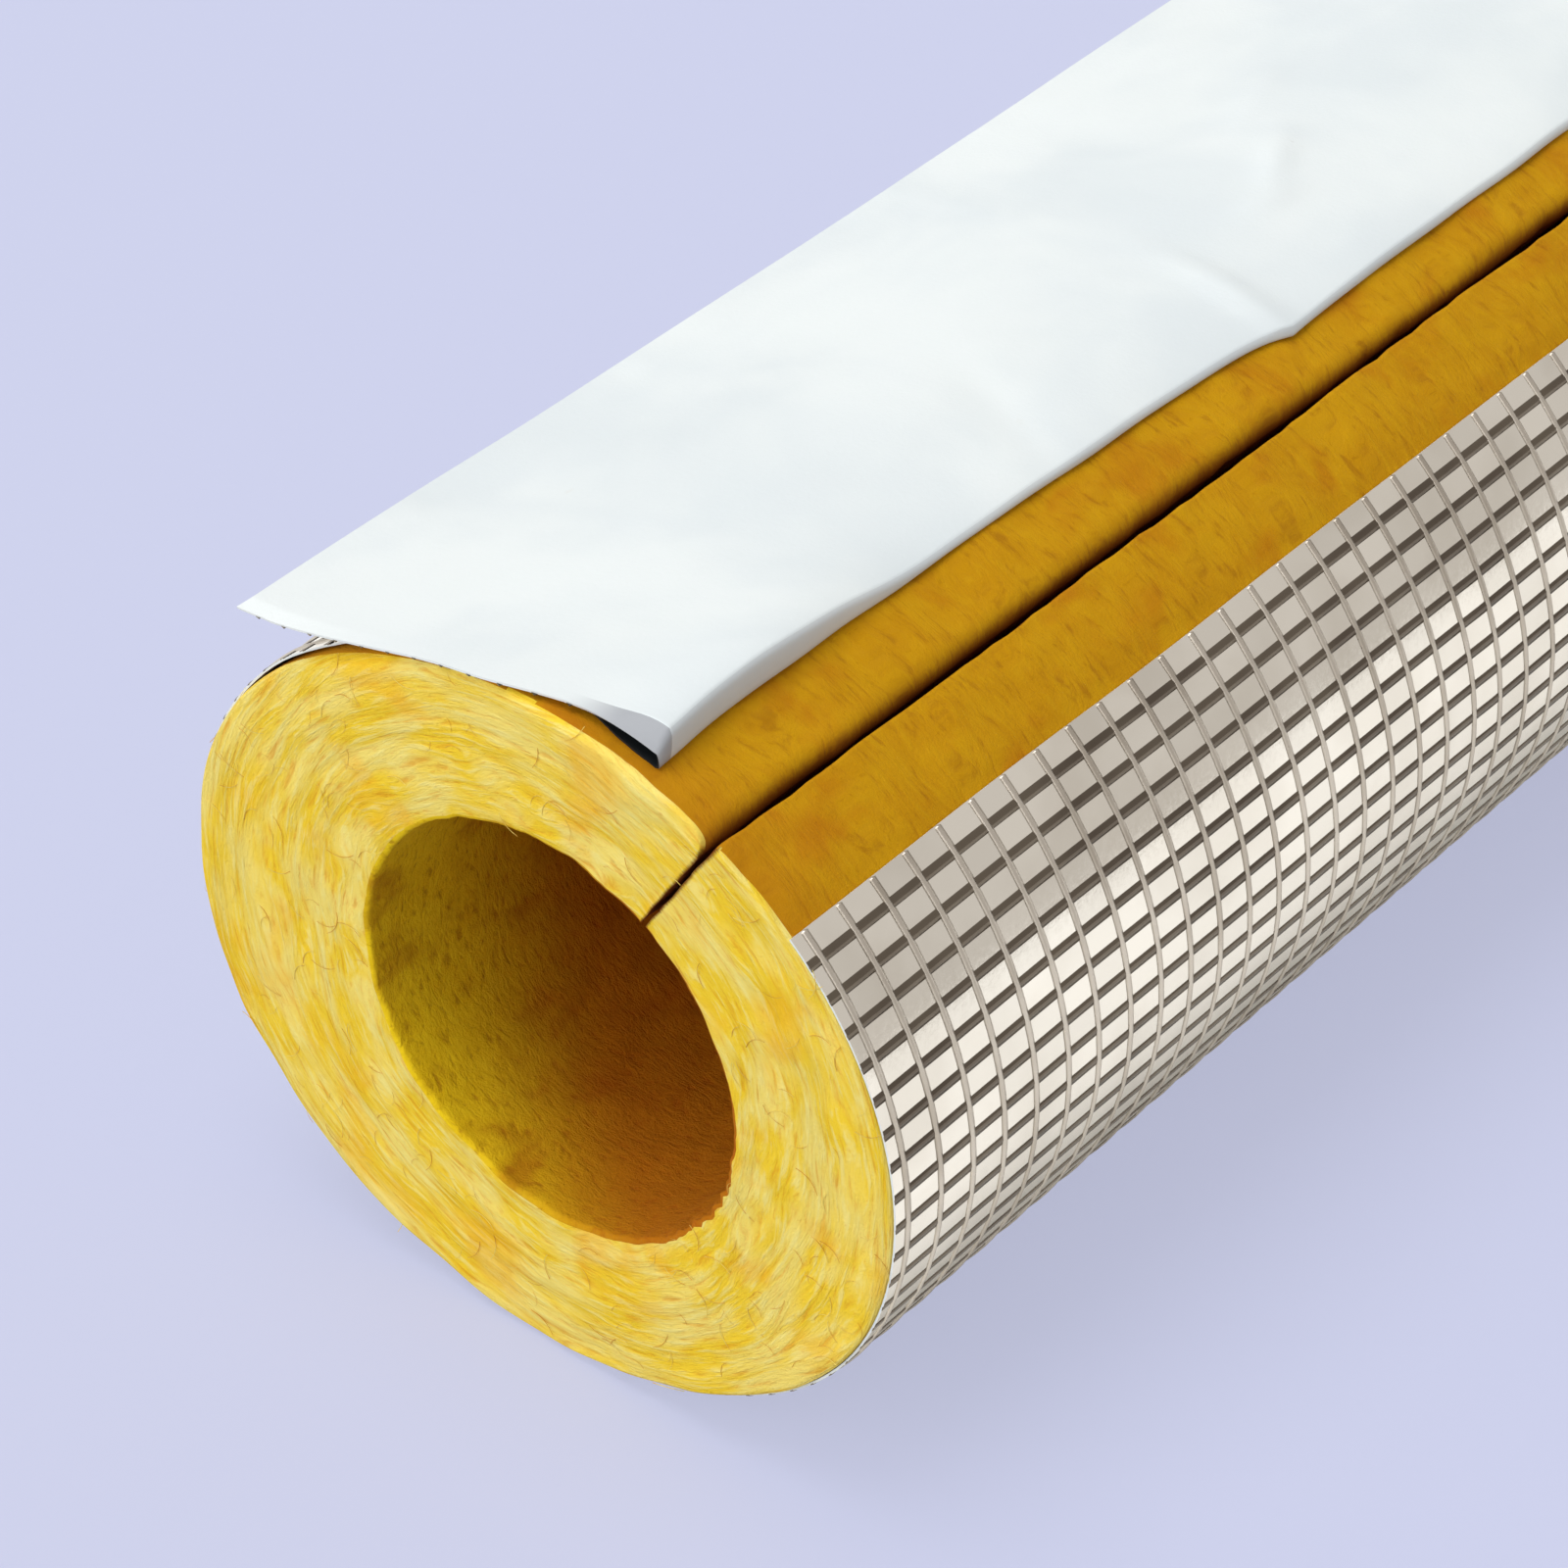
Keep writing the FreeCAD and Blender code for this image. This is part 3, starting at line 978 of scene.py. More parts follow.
@dataclass
class WoolSleeve:
    """The moulded glass wool sleeve with its bore and its one slit."""

    oval: Oval
    length: float
    bore_radius: float
    slit_angle: float = math.radians(32.5)
    slit_half_gap: float = 0.46 * MM
    soft_lip: float = 3.6 * MM
    crisp_lip: float = 0.45 * MM
    end_round: float = 0.5 * MM
    hinge_round: float = 2.4 * MM
    bore_round: float = 0.7 * MM
    fray: float = 1.3 * MM
    near_fade: float = 20 * MM
    columns: int = 300
    rings: int = 20
    fine_stations: int = 76
    coarse_stations: int = 38
    bare_from: float = math.radians(10.0)
    bare_to: float = math.radians(41.0)
    torn_rim: float = math.radians(118.0)
    map_radius: float = 42.0 * MM
    skin_stretch: float = 1.3
    kinds: np.ndarray = field(default=None, init=False, repr=False)

    def angles(self) -> np.ndarray:
        """Space the columns round the bore, closer at the two lips and on the bare strip.

        Returns:
            Angles growing from the slit once round to the slit.
        """
        t = np.linspace(0.0, 1.0, 4001)
        ahead = t * 2 * math.pi
        crowd = 1.0 + 7.0 * np.exp(-ahead / 0.035) + 9.0 * np.exp(-(2 * math.pi - ahead) / 0.05)
        crowd += 1.6 * np.exp(-(((ahead - 6.05) / 0.25) ** 2)) + 0.8 * np.exp(-ahead / 0.3)
        count = np.concatenate([[0.0], np.cumsum((crowd[1:] + crowd[:-1]) / 2)])
        return self.slit_angle + np.interp(
            np.linspace(0, count[-1], self.columns + 1), count, ahead)

    def stations(self) -> np.ndarray:
        """Space the rings along the sleeve, close at both rims and along the near part.

        Returns:
            Growing distances from the near end to the far end.
        """
        rim = np.array([0.0, 0.1, 0.3, 0.6, 1.0, 1.5, 2.2]) * MM
        fine = np.linspace(3.6 * MM, FINE_LENGTH, self.fine_stations)
        coarse = np.linspace(FINE_LENGTH, self.length - 12 * MM, self.coarse_stations)[1:]
        last = self.length - np.array([6.0, 3.2, 1.6, 0.8, 0.3, 0.0]) * MM
        return np.concatenate([rim, fine, coarse, last])

    def place(self, angle: np.ndarray, depth: np.ndarray, y: np.ndarray) -> np.ndarray:
        """Put lattice points where the wool's surface is.

        Args:
            angle: Each point's direction from the bore's axis.
            depth: 0 at the bore and 1 at the outside.
            y: The distance along the sleeve.

        Returns:
            Rows of x, y, z.
        """
        ahead = angle - self.slit_angle
        outer, rim = self.outer_edge(angle, y)
        inner = self.inner_edge(angle, y)
        radius = inner + (outer - inner) * depth
        angle = angle + self.slit_push(ahead, radius, y) / radius
        sunk = self.layer_relief(ahead, radius) * np.exp(-y / (1.2 * MM))
        sunk = sunk * (1 - rim / (2 * self.end_round + self.hinge_round))
        return np.stack([radius * np.sin(angle), y + sunk, radius * np.cos(angle)], axis=-1)

    def outer_edge(self, angle: np.ndarray, y: np.ndarray) -> tuple[np.ndarray, np.ndarray]:
        """Give the outside's distance from the bore's axis, with its rounded lips and its mottle.

        Args:
            angle: Each point's direction from the bore's axis.
            y: The distance along the sleeve.

        Returns:
            The distance, and how far the end's round has cut into it.
        """
        ahead = angle - self.slit_angle
        behind = 2 * math.pi - ahead
        outline = self.oval.reach(angle)
        turn = self.oval.turn_seen(angle)
        from_end = np.minimum(y, self.length - y)
        lip = (quarter_round(ahead * outline, np.full_like(y, self.crisp_lip))
               + quarter_round(behind * outline, np.full_like(y, self.soft_lip)))
        at_fold = np.exp(-y / self.near_fade) * np.exp(-((turn + 0.25) / 0.42) ** 2)
        round_here = self.end_round + (self.hinge_round - self.end_round) * at_fold
        rim = quarter_round(from_end, round_here)
        edge = outline - np.maximum(lip, rim) - 0.35 * np.minimum(lip, rim)

        skin = self.bare_strip(turn)
        px, py, pz = np.sin(angle) * outline / MM, y / MM, np.cos(angle) * outline / MM
        mottle = 0.16 * Ripples(9.0, 11).at(px, py, pz) + 0.07 * Ripples(3.4, 12).at(px, py, pz)
        sunk = -0.10 - 0.05 * np.abs(Ripples(14.0, 13).at(px, py, pz))
        relief = skin * mottle + (1 - skin) * sunk * smooth(from_end, 0, self.near_fade)
        return edge + relief * MM, rim

    def inner_edge(self, angle: np.ndarray, y: np.ndarray) -> np.ndarray:
        """Give the bore's fuzzy radius, ragged at the torn part of its near rim.

        Args:
            angle: Each point's direction from the bore's axis.
            y: The distance along the sleeve.

        Returns:
            The distance from the bore's axis.
        """
        from_end = np.minimum(y, self.length - y)
        bx, bz = np.sin(angle) * self.bore_radius / MM, np.cos(angle) * self.bore_radius / MM
        by = y / MM
        depth = 0.05 + 0.15 * smooth(from_end, 2 * MM, self.near_fade)
        fuzzy = depth * Ripples(6.0, 21).at(bx, by * 0.6, bz)
        fuzzy = fuzzy + 0.05 * Ripples(2.4, 22).at(bx, by, bz)
        torn = np.exp(-y / self.near_fade) * np.exp(-((angle - self.torn_rim) / 0.42) ** 2)
        fuzzy = fuzzy + torn * 0.55 * Ripples(2.6, 23).at(bx, by, bz)
        rim = quarter_round(from_end, np.full_like(y, self.bore_round))
        return self.bore_radius + rim + fuzzy * MM

    def slit_push(self, ahead: np.ndarray, radius: np.ndarray, y: np.ndarray) -> np.ndarray:
        """Open the slit unevenly, less and less away from it.

        Args:
            ahead: The angle past the slit.
            radius: The distance from the bore's axis.
            y: The distance along the sleeve.

        Returns:
            How far each point is moved round the bore.
        """
        behind = 2 * math.pi - ahead
        gap = self.slit_half_gap + (0.12 * Ripples(5.0, 31).at(y / MM, radius / MM)
                                    + 0.16 * Ripples(26.0, 32).at(y / MM, radius / MM)) * MM
        gap = np.maximum(gap, 0.12 * MM)
        fade = 3 * MM
        return gap * (np.exp(-ahead * radius / fade) - np.exp(-behind * radius / fade))

    def bare_strip(self, turn: np.ndarray) -> np.ndarray:
        """Say where the outside isn't covered by the facing: 1 on the bare strip, 0 under it."""
        return smooth(turn, self.bare_from, self.bare_from + 0.05) * (
            1 - smooth(turn, self.bare_to - 0.03, self.bare_to))

    def layer_relief(self, ahead: np.ndarray, radius: np.ndarray) -> np.ndarray:
        """Give the cut face's relief: wound layers torn a little unevenly.

        Args:
            ahead: The angle past the slit.
            radius: The distance from the bore's axis.

        Returns:
            How far each point is sunk into the end, in metres.
        """
        around, deep = ahead * self.map_radius / MM, radius / MM
        drift = 1.6 * Ripples(38.0, 41).at(around, deep)
        layers = Ripples(2.6, 42, spread=0.3).at(around / 14.0, deep + drift)
        lumps = Ripples(11.0, 43).at(around, deep)
        return (0.34 + 0.20 * layers + 0.14 * lumps) * MM

    def build(self) -> bpy.types.Object:
        """Build the sleeve's closed mesh with its map and face kinds.

        Returns:
            The undressed object.
        """
        angles, stations = self.angles(), self.stations()
        n, k, m = self.columns, self.rings, len(stations) - 1
        depth = np.linspace(0, 1, k + 1)
        i, r, j = np.meshgrid(np.arange(n + 1), np.arange(k + 1), np.arange(m + 1), indexing="ij")
        shell = (i == 0) | (i == n) | (r == 0) | (r == k) | (j == 0) | (j == m)
        number = np.full(shell.shape, -1, np.int64)
        number[shell] = np.arange(int(shell.sum()))
        points = self.place(angles[i[shell]], depth[r[shell]], stations[j[shell]])

        faces = [
            (join_grid(number[:, :, 0], False), Surface.CUT),
            (join_grid(number[:, :, m], True), Surface.CUT),
            (join_grid(number[:, k, :], False), Surface.SKIN),
            (join_grid(number[:, 0, :], True), Surface.BORE),
            (join_grid(number[0, :, :], False), Surface.SLIT),
            (join_grid(number[n, :, :], True), Surface.SLIT),
        ]
        quads = np.concatenate([f for f, _ in faces])
        kinds = np.concatenate([np.full(len(f), s.value) for f, s in faces])
        piece = mesh_object("glass_wool_sleeve", points, quads)
        middle_y = points[quads][:, :, 1].mean(axis=1)
        frayed = (kinds == Surface.SKIN.value) & (middle_y < self.fray)
        kinds[frayed] = Surface.CUT.value

        around = (angles[i[shell]] - self.slit_angle) * self.map_radius
        radius = np.hypot(points[:, 0], points[:, 2])
        flat = {
            Surface.CUT: np.stack([around, radius], -1),
            Surface.SKIN: np.stack([around * self.skin_stretch, points[:, 1]], -1),
            Surface.BORE: np.stack([around, points[:, 1]], -1),
            Surface.SLIT: np.stack([points[:, 1], radius], -1),
        }
        corners = np.concatenate([flat[s][f.ravel()] for f, s in faces])
        wrapped = np.repeat(frayed, 4)
        over = np.stack([around, radius + points[:, 1]], -1)
        corners[wrapped] = over[quads.ravel()[wrapped]]
        lay_out(piece, corners)
        self.kinds = kinds
        return piece

    def finish_piece(self, piece: bpy.types.Object) -> bpy.types.Object:
        """Dress the sleeve and tie it to the frame.

        Args:
            piece: The object from build.

        Returns:
            The same object.
        """
        once_round = 2 * math.pi * self.map_radius
        # On the end faces, the lip colour is painted shade beside the slit.
        cut = WoolFinish("wool_cut_face", base="fbd634", pale="fdef96", deep="e29410",
                         stain="f8b818", length=6.5, thickness=0.85, swirl=10.0, depth=0.6 * MM,
                         stain_share=0.6, cloud_share=0.55, streak_share=0.6,
                         lip=PaintedLipShade("6e2e02", end=once_round, reach=0.6 * MM, both=True))
        # On the outer skin, the rim colour is a stain at the near end and the lip colour is painted
        # shade on the slit's rounded lip.
        skin = WoolFinish("wool_outer_skin", base="c48c00", pale="ce9a04", deep="9c6200",
                          stain="b87000", length=4.6, thickness=1.4, swirl=14.0, depth=0.3 * MM,
                          stain_share=0.65, cloud_share=0.6, streak_share=0.55, seed=5.0,
                          rim=StainAndShadeFade("b87003", full_at=0.0, gone_at=14 * MM, share=0.5),
                          lip=PaintedLipShade("8c5206", end=once_round * self.skin_stretch,
                                       reach=2.2 * MM))
        # In the bore, the rim colour is painted shade that deepens further in.
        bore = WoolFinish("wool_bore_skin", base="f2cc14", pale="f8d61c", deep="a46c04",
                          stain="b47806", length=3.4, thickness=1.2, swirl=8.0, depth=0.5 * MM,
                          stain_share=0.7, streak_share=0.6, seed=8.0,
                          rim=StainAndShadeFade("b05a00", full_at=18 * MM, gone_at=-20 * MM, share=0.9,
                                       lean=0.9))
        # The slit faces' dark browns are painted shade of the narrow gap.
        slit = WoolFinish("wool_slit_face_painted_shade", base="7e3a05", pale="8c4a08", deep="5e2803",
                          stain="6a3003", length=9.0, thickness=0.9, swirl=3.0, depth=0.4 * MM,
                          seed=12.0)
        dress(piece, [f.make() for f in (cut, skin, bore, slit)], self.kinds)
        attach(piece, BODY)
        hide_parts("wool_shell")
        return piece


# ---------------------------------------------------------------------------------------------
# The foil facing
# ---------------------------------------------------------------------------------------------


class Side(Enum):
    """The facing's two sides and its dark material for painted shade inside the fold's near end, in
    material slot order.
    """

    PAPER = 0
    FOIL = 1
    EDGE = 2


@dataclass(frozen=True)
class Wrinkle:
    """One small wrinkle in the lap, with all its lengths in millimetres.

    Its middle lies from_fold across and along the sheet. It runs at degrees from straight across
    towards straight along, and reach is how far it runs each way.
    """

    from_fold: float
    along: float
    degrees: float
    width: float
    reach: float
    height: float

    def rise(self, s: np.ndarray, y: np.ndarray) -> np.ndarray:
        """Give the height that the wrinkle adds.

        Args:
            s: Distance from the fold.
            y: Distance along the sheet.

        Returns:
            The height at each point.
        """
        turn = math.radians(self.degrees)
        s, y = s - self.from_fold, y - self.along
        length = s * math.cos(turn) + y * math.sin(turn)
        aside = y * math.cos(turn) - s * math.sin(turn)
        return self.height * np.exp(
            -((length / self.reach) ** 2) - np.abs(aside / self.width) ** 1.5)


@dataclass
class FoilFacing:
    """The foil, scrim and paper sheet: jacket, fold and lap in one piece."""

    oval: Oval
    length: float
    thickness: float = 0.3 * MM
    glue: float = 0.1 * MM
    bonded_edge: float = math.radians(42.0)
    hinge: float = math.radians(16.4)
    lap_width: float = 68.0 * MM
    nose_height: float = 4.3 * MM
    droop: float = 2.3 * MM
    crest: float = 8.5 * MM
    kink_at: float = 130.0 * MM
    corner_back: float = 3.2 * MM
    jacket_columns: int = 118
    # Faces at the fold's near end that take the dark material, as painted shade for the fold's
    # hollow.
    painted_shade_depth: float = 14 * MM
    painted_shade_edge: tuple[int, int] = (-11, 5)
    painted_shade_inside: tuple[int, int] = (-14, 17)
    weave: Weave = Weave()
    wrinkles: tuple[Wrinkle, ...] = (
        Wrinkle(9.0, 129.5, degrees=2.0, width=1.8, reach=11.0, height=1.0),
        Wrinkle(23.5, 160.0, degrees=62.0, width=1.8, reach=8.0, height=0.9),
        Wrinkle(18.0, 150.0, degrees=104.0, width=1.6, reach=6.0, height=0.7),
        Wrinkle(38.0, 176.0, degrees=70.0, width=2.8, reach=10.0, height=0.6),
        Wrinkle(12.0, 86.0, degrees=20.0, width=3.5, reach=14.0, height=-0.4),
    )
    rows: np.ndarray = field(default=None, init=False, repr=False)
    across: np.ndarray = field(default=None, init=False, repr=False)
    normal: np.ndarray = field(default=None, init=False, repr=False)
    foil_side: np.ndarray = field(default=None, init=False, repr=False)
    kinds: np.ndarray = field(default=None, init=False, repr=False)

    @property
    def half(self) -> float:
        """How far the jacket's middle stands off the wool."""
        return self.glue + self.thickness / 2

    def hinge_turn(self, y: np.ndarray, kinked: bool = True) -> np.ndarray:
        """Give the fold's place round the outline: it wanders towards the slit, with one kink.

        Args:
            y: Distances along the sleeve.
            kinked: Whether the kink is counted.

        Returns:
            The outward direction's angle at the fold.
        """
        mm, past = y / MM, (y - self.kink_at) / MM
        kink = np.where(past < 0, np.exp(past / 4.5), np.exp(-past / 22.0)) * kinked
        degrees = (0.8 * np.exp(-((mm / 9.0) ** 2)) + 2.5 * smooth(mm, 50, 190) + 1.7 * kink
                   + 0.10 * Ripples(30.0, 51).at(mm) * smooth(mm, 20, 40)
                   + 0.9 * Ripples(210.0, 52).at(mm) * smooth(mm, 190, 330))
        return self.hinge + np.radians(degrees)

    def stations(self) -> np.ndarray:
        """Space the rows along the sheet, closest at the near edge."""
        near = np.array([0.0, 0.3, 0.7, 1.1, 1.5, 1.9, 2.25, 2.45, 2.75, 3.4, 4.5]) * MM
        fine = np.linspace(6.0 * MM, FINE_LENGTH, 112)
        far = np.linspace(FINE_LENGTH, self.length - 3 * MM, 46)[1:]
        return np.concatenate([near, fine, far, [self.length]])

    def nose(self, y: np.ndarray) -> np.ndarray:
        """Give the fold's standing height: a loose curl near the end that tightens along it."""
        mm = y / MM
        loose = self.nose_height * (1 - smooth(mm, 20, 58))
        return loose + (0.75 + 0.35 * Ripples(60.0, 53).at(mm)) * MM * smooth(mm, 12, 58)

    def lap_lift(self, s: np.ndarray, y: np.ndarray) -> np.ndarray:
        """Give the lap's height over the jacket, away from the fold's own turn.

        Args:
            s: Distance from the fold towards the free edge.
            y: Distance along the sheet.

        Returns:
            The height of the sheet's middle over the outline.
        """
        mm, sm = y / MM, s / MM
        base = 0.62 + 0.10 * Ripples(30.0, 54).at(sm, mm * 0.5)
        crest = (self.nose(y) / MM) * np.exp(-((s / self.crest) ** 2))
        start = 38.5 - 2.5 * smooth(mm, 60, 210)
        free = np.clip(sm - start, 0, None)
        rise = free**2 / 122.0 * (1 + 0.006 * free)
        curl = 0.5 * smooth(mm, 20, 120) * smooth(sm, 58, 68) ** 2
        soft = (0.14 * Ripples(40.0, 55).at(sm * 1.3, mm * 0.4)
                + 0.04 * Ripples(15.0, 56).at(sm, mm * 0.5)) * smooth(sm, 3, 16) * (
                    1 - 0.8 * smooth(sm, 45, 66))
        crease = sum(w.rise(sm, mm) for w in self.wrinkles)
        wave = 1.2 * Ripples(170.0, 57).at(mm) * smooth(mm, 215, 330) * (free / 30.0)
        return (base + crest + rise - curl + soft * smooth(mm, 2, 12) + crease + wave) * MM

    def middle(self, y: np.ndarray) -> tuple[np.ndarray, np.ndarray]:
        """Lay the sheet's middle surface on the sleeve.

        Args:
            y: The rows' distances along the sleeve.

        Returns:
            Points as rows by columns by x, y, z, and the columns' distances across the sheet.
        """
        rows = y[:, None]
        nose = self.nose(rows)
        gate = np.clip(rows / self.droop, 0.0, 1.0) ** 0.8
        jacket_x, jacket_z, jacket_back = self.jacket(rows)
        fold_x, fold_z = self.fold(rows, nose, gate)
        lap_x, lap_z, lap_back = self.lap(rows, nose, gate)
        x = np.concatenate([jacket_x, fold_x, lap_x], axis=1)
        z = np.concatenate([jacket_z, fold_z, lap_z], axis=1)
        fold_back = np.full(fold_x.shape, self.corner_back)
        back = np.concatenate([jacket_back, fold_back, lap_back], axis=1)
        points = np.stack([x, rows + back * np.exp(-rows / (25 * MM)), z], axis=-1)
        steps = np.linalg.norm(np.diff(points[len(y) // 2], axis=0), axis=1)
        return points, np.concatenate([[0.0], np.cumsum(steps)])

    def jacket(self, rows: np.ndarray) -> tuple[np.ndarray, np.ndarray, np.ndarray]:
        """Lay the bonded part round the sleeve, a little loose at its near end.

        Args:
            rows: The rows' distances along the sleeve, as a column.

        Returns:
            Each point's x and z, and how far its near edge lies behind the end.
        """
        start = self.bonded_edge + np.radians(0.16 * Ripples(70.0, 58).at(rows / MM))
        end = self.hinge_turn(rows) + 2 * math.pi
        turn = start + (end - start) * np.linspace(0, 1, self.jacket_columns)[None, :]
        loose = np.exp(-rows / (12 * MM)) * np.exp(-((turn - math.radians(325)) / 0.22) ** 2)
        x, z = self.oval.at(turn, self.half + 0.5 * MM * loose)
        degrees = np.degrees(turn)
        back = (0.5 + 0.8 * smooth(degrees, 90, 160) + 4.0 * smooth(degrees, 322, 348)
                - 2.1 * smooth(degrees, 362, 374)) * MM
        return x, z, back

    def fold(self, rows: np.ndarray, nose: np.ndarray,
             gate: np.ndarray) -> tuple[np.ndarray, np.ndarray]:
        """Turn the sheet back on itself.

        Args:
            rows: The rows' distances along the sleeve, as a column.
            nose: The fold's standing height in each row.
            gate: 0 at the drooping near edge and 1 behind it.

        Returns:
            Each point's x and z.
        """
        bend = np.array([0.12, 0.28, 0.46, 0.64, 0.8, 0.92])[None, :]
        tall = nose * (0.48 + 0.52 * gate)
        lift = self.half + 0.1 * MM + (tall + 0.15 * MM) * bend
        bulge = 0.55 * MM + 0.15 * MM * np.sin(bend * math.pi)
        lean = -0.9 * MM * bend * (nose / self.nose_height)
        return self.oval.at(self.hinge_turn(rows) + (bulge + lean) / self.oval.flat_radius, lift)

    def lap(self, rows: np.ndarray, nose: np.ndarray,
            gate: np.ndarray) -> tuple[np.ndarray, np.ndarray, np.ndarray]:
        """Lay the free lap back over the jacket, its free edge straight past the fold's kink.

        Args:
            rows: The rows' distances along the sleeve, as a column.
            nose: The fold's standing height in each row.
            gate: 0 at the drooping near edge and 1 behind it.

        Returns:
            Each point's x and z, and how far its near edge lies behind the end.
        """
        tight = [0.25, 0.7, 1.3, 2.1, 3.2]
        s = np.concatenate([tight, np.linspace(4.6, 66.5, 40), [self.lap_width / MM]])[None, :] * MM
        top_turn = self.hinge_turn(rows)
        kink = (top_turn - self.hinge_turn(rows, kinked=False)) * self.oval.flat_radius
        top = self.lap_lift(s, rows)
        edge = self.half + 0.5 * MM + 1.35 * MM * np.exp(-((s / (10 * MM)) ** 2)) * (s < 30 * MM)
        rise_only = top - nose * np.exp(-((s / self.crest) ** 2))
        edge = np.maximum(np.minimum(edge, top), np.minimum(rise_only, top))
        lift = self.half + edge * (1 - gate) + top * gate
        ahead = top_turn + (0.45 - 0.9 * nose / self.nose_height) * MM / self.oval.flat_radius
        turn = self.walk_back(ahead, s * (1 + kink / self.lap_width), lift)
        x, z = self.oval.at(turn, lift)
        back = self.corner_back * (1 - smooth(s, 9 * MM, 27 * MM))
        return x, z, np.broadcast_to(back, x.shape)

    def walk_back(self, turn: np.ndarray, s: np.ndarray, lift: np.ndarray) -> np.ndarray:
        """Find each lap point's direction, so that distances along the lap stay true.

        Args:
            turn: The direction at the lap's start, one for each row.
            s: Distances from the fold.
            lift: The lap's height at each distance.

        Returns:
            The outward direction's angle for each row and distance.
        """
        turns = np.empty(lift.shape)
        here = turn[:, 0].copy()
        last = np.zeros(len(turn))
        s = np.broadcast_to(s, lift.shape)
        for c in range(lift.shape[1]):
            step = s[:, c] - last
            climb = lift[:, c] - (lift[:, c - 1] if c else lift[:, 0])
            flat_step = np.sqrt(np.maximum(step**2 - climb**2, (0.2 * step) ** 2))
            radius = np.where(np.abs(np.sin(here)) < math.sin(self.oval.shoulder),
                              self.oval.flat_radius, self.oval.side_radius)
            here = here - flat_step / (radius + lift[:, c])
            turns[:, c] = here
            last = s[:, c]
        return turns

    def build(self) -> bpy.types.Object:
        """Build the sheet's closed two-sided mesh.

        Returns:
            The undressed object.
        """
        y = self.stations()
        middle, across = self.middle(y)
        along_u = np.gradient(middle, axis=1)
        along_v = np.gradient(middle, axis=0)
        normal = np.cross(along_u, along_v)
        normal /= np.linalg.norm(normal, axis=-1, keepdims=True)
        self.foil_side = middle + normal * self.thickness / 2
        self.normal = normal
        self.rows, self.across = y, across
        paper = middle - normal * self.thickness / 2
        rows, columns = middle.shape[:2]
        count = rows * columns
        number = np.arange(count).reshape(rows, columns)
        points = np.concatenate([self.foil_side.reshape(-1, 3), paper.reshape(-1, 3)])
        foil, back = number, number + count
        faces = [(join_grid(foil, False), Side.FOIL), (join_grid(back, True), Side.PAPER)]
        for a, b, flip in ((foil[0], back[0], False), (foil[-1], back[-1], True),
                           (foil[:, 0], back[:, 0], True), (foil[:, -1], back[:, -1], False)):
            faces.append((join_grid(np.stack([a, b]), flip), Side.PAPER))
        quads = np.concatenate([f for f, _ in faces])
        self.kinds = np.concatenate([np.full(len(f), s.value) for f, s in faces])
        # Painted shade: near-edge faces round the fold and foil faces inside the fold's near end
        # take the dark material.
        first = sum(len(f) for f, _ in faces[:2])
        start, end = (self.jacket_columns + k for k in self.painted_shade_edge)
        self.kinds[first + start : first + end] = Side.EDGE.value
        inside = np.zeros((rows - 1, columns - 1), bool)
        start, end = (self.jacket_columns + k for k in self.painted_shade_inside)
        inside[y[:-1] < self.painted_shade_depth, start:end] = True
        self.kinds[: inside.size][inside.ravel()] = Side.EDGE.value
        piece = mesh_object("foil_facing_sheet", points, quads)
        u, v = np.meshgrid(across, y)
        flat = np.stack([np.tile(u.ravel(), 2), np.tile(v.ravel(), 2)], -1)
        lay_out(piece, flat[quads.ravel()])
        work = bmesh.new()
        work.from_mesh(piece.data)
        bmesh.ops.recalc_face_normals(work, faces=work.faces)
        work.to_mesh(piece.data)
        work.free()
        return piece

    def finish_piece(self, piece: bpy.types.Object) -> bpy.types.Object:
        """Dress the sheet and tie it to the frame.

        Args:
            piece: The object from build.

        Returns:
            The same object.
        """
        foil = FoilFinish("aluminium_foil", base="f6f2ea", shade="ece7de", roughness=0.15,
                          weave=self.weave)
        # The dark material is painted shade for the hollow inside the fold's near end.
        edge = PaperFinish(name="facing_painted_fold_shade", base="1c2226", shade="14181b")
        fold = self.jacket_columns
        # The paper's fold colour is painted shade on the fold's facet and drooping corner.
        paper = PaperFinish(fold_from=float(self.across[fold - 1]),
                            fold_to=float(self.across[fold + 6]), droop=self.droop)
        dress(piece, [paper.make(), foil.make(), edge.make()], self.kinds)
        piece.data.set_sharp_from_angle(angle=math.radians(75))  # the sheet's square edges
        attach(piece, BODY)
        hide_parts("foil_facing")
        return piece


# ---------------------------------------------------------------------------------------------
# Scrim threads
# ---------------------------------------------------------------------------------------------


class ThreadRun(Enum):
    """The scrim's two directions."""

    LENGTHWISE = "lengthwise"
    CROSSWISE = "crosswise"


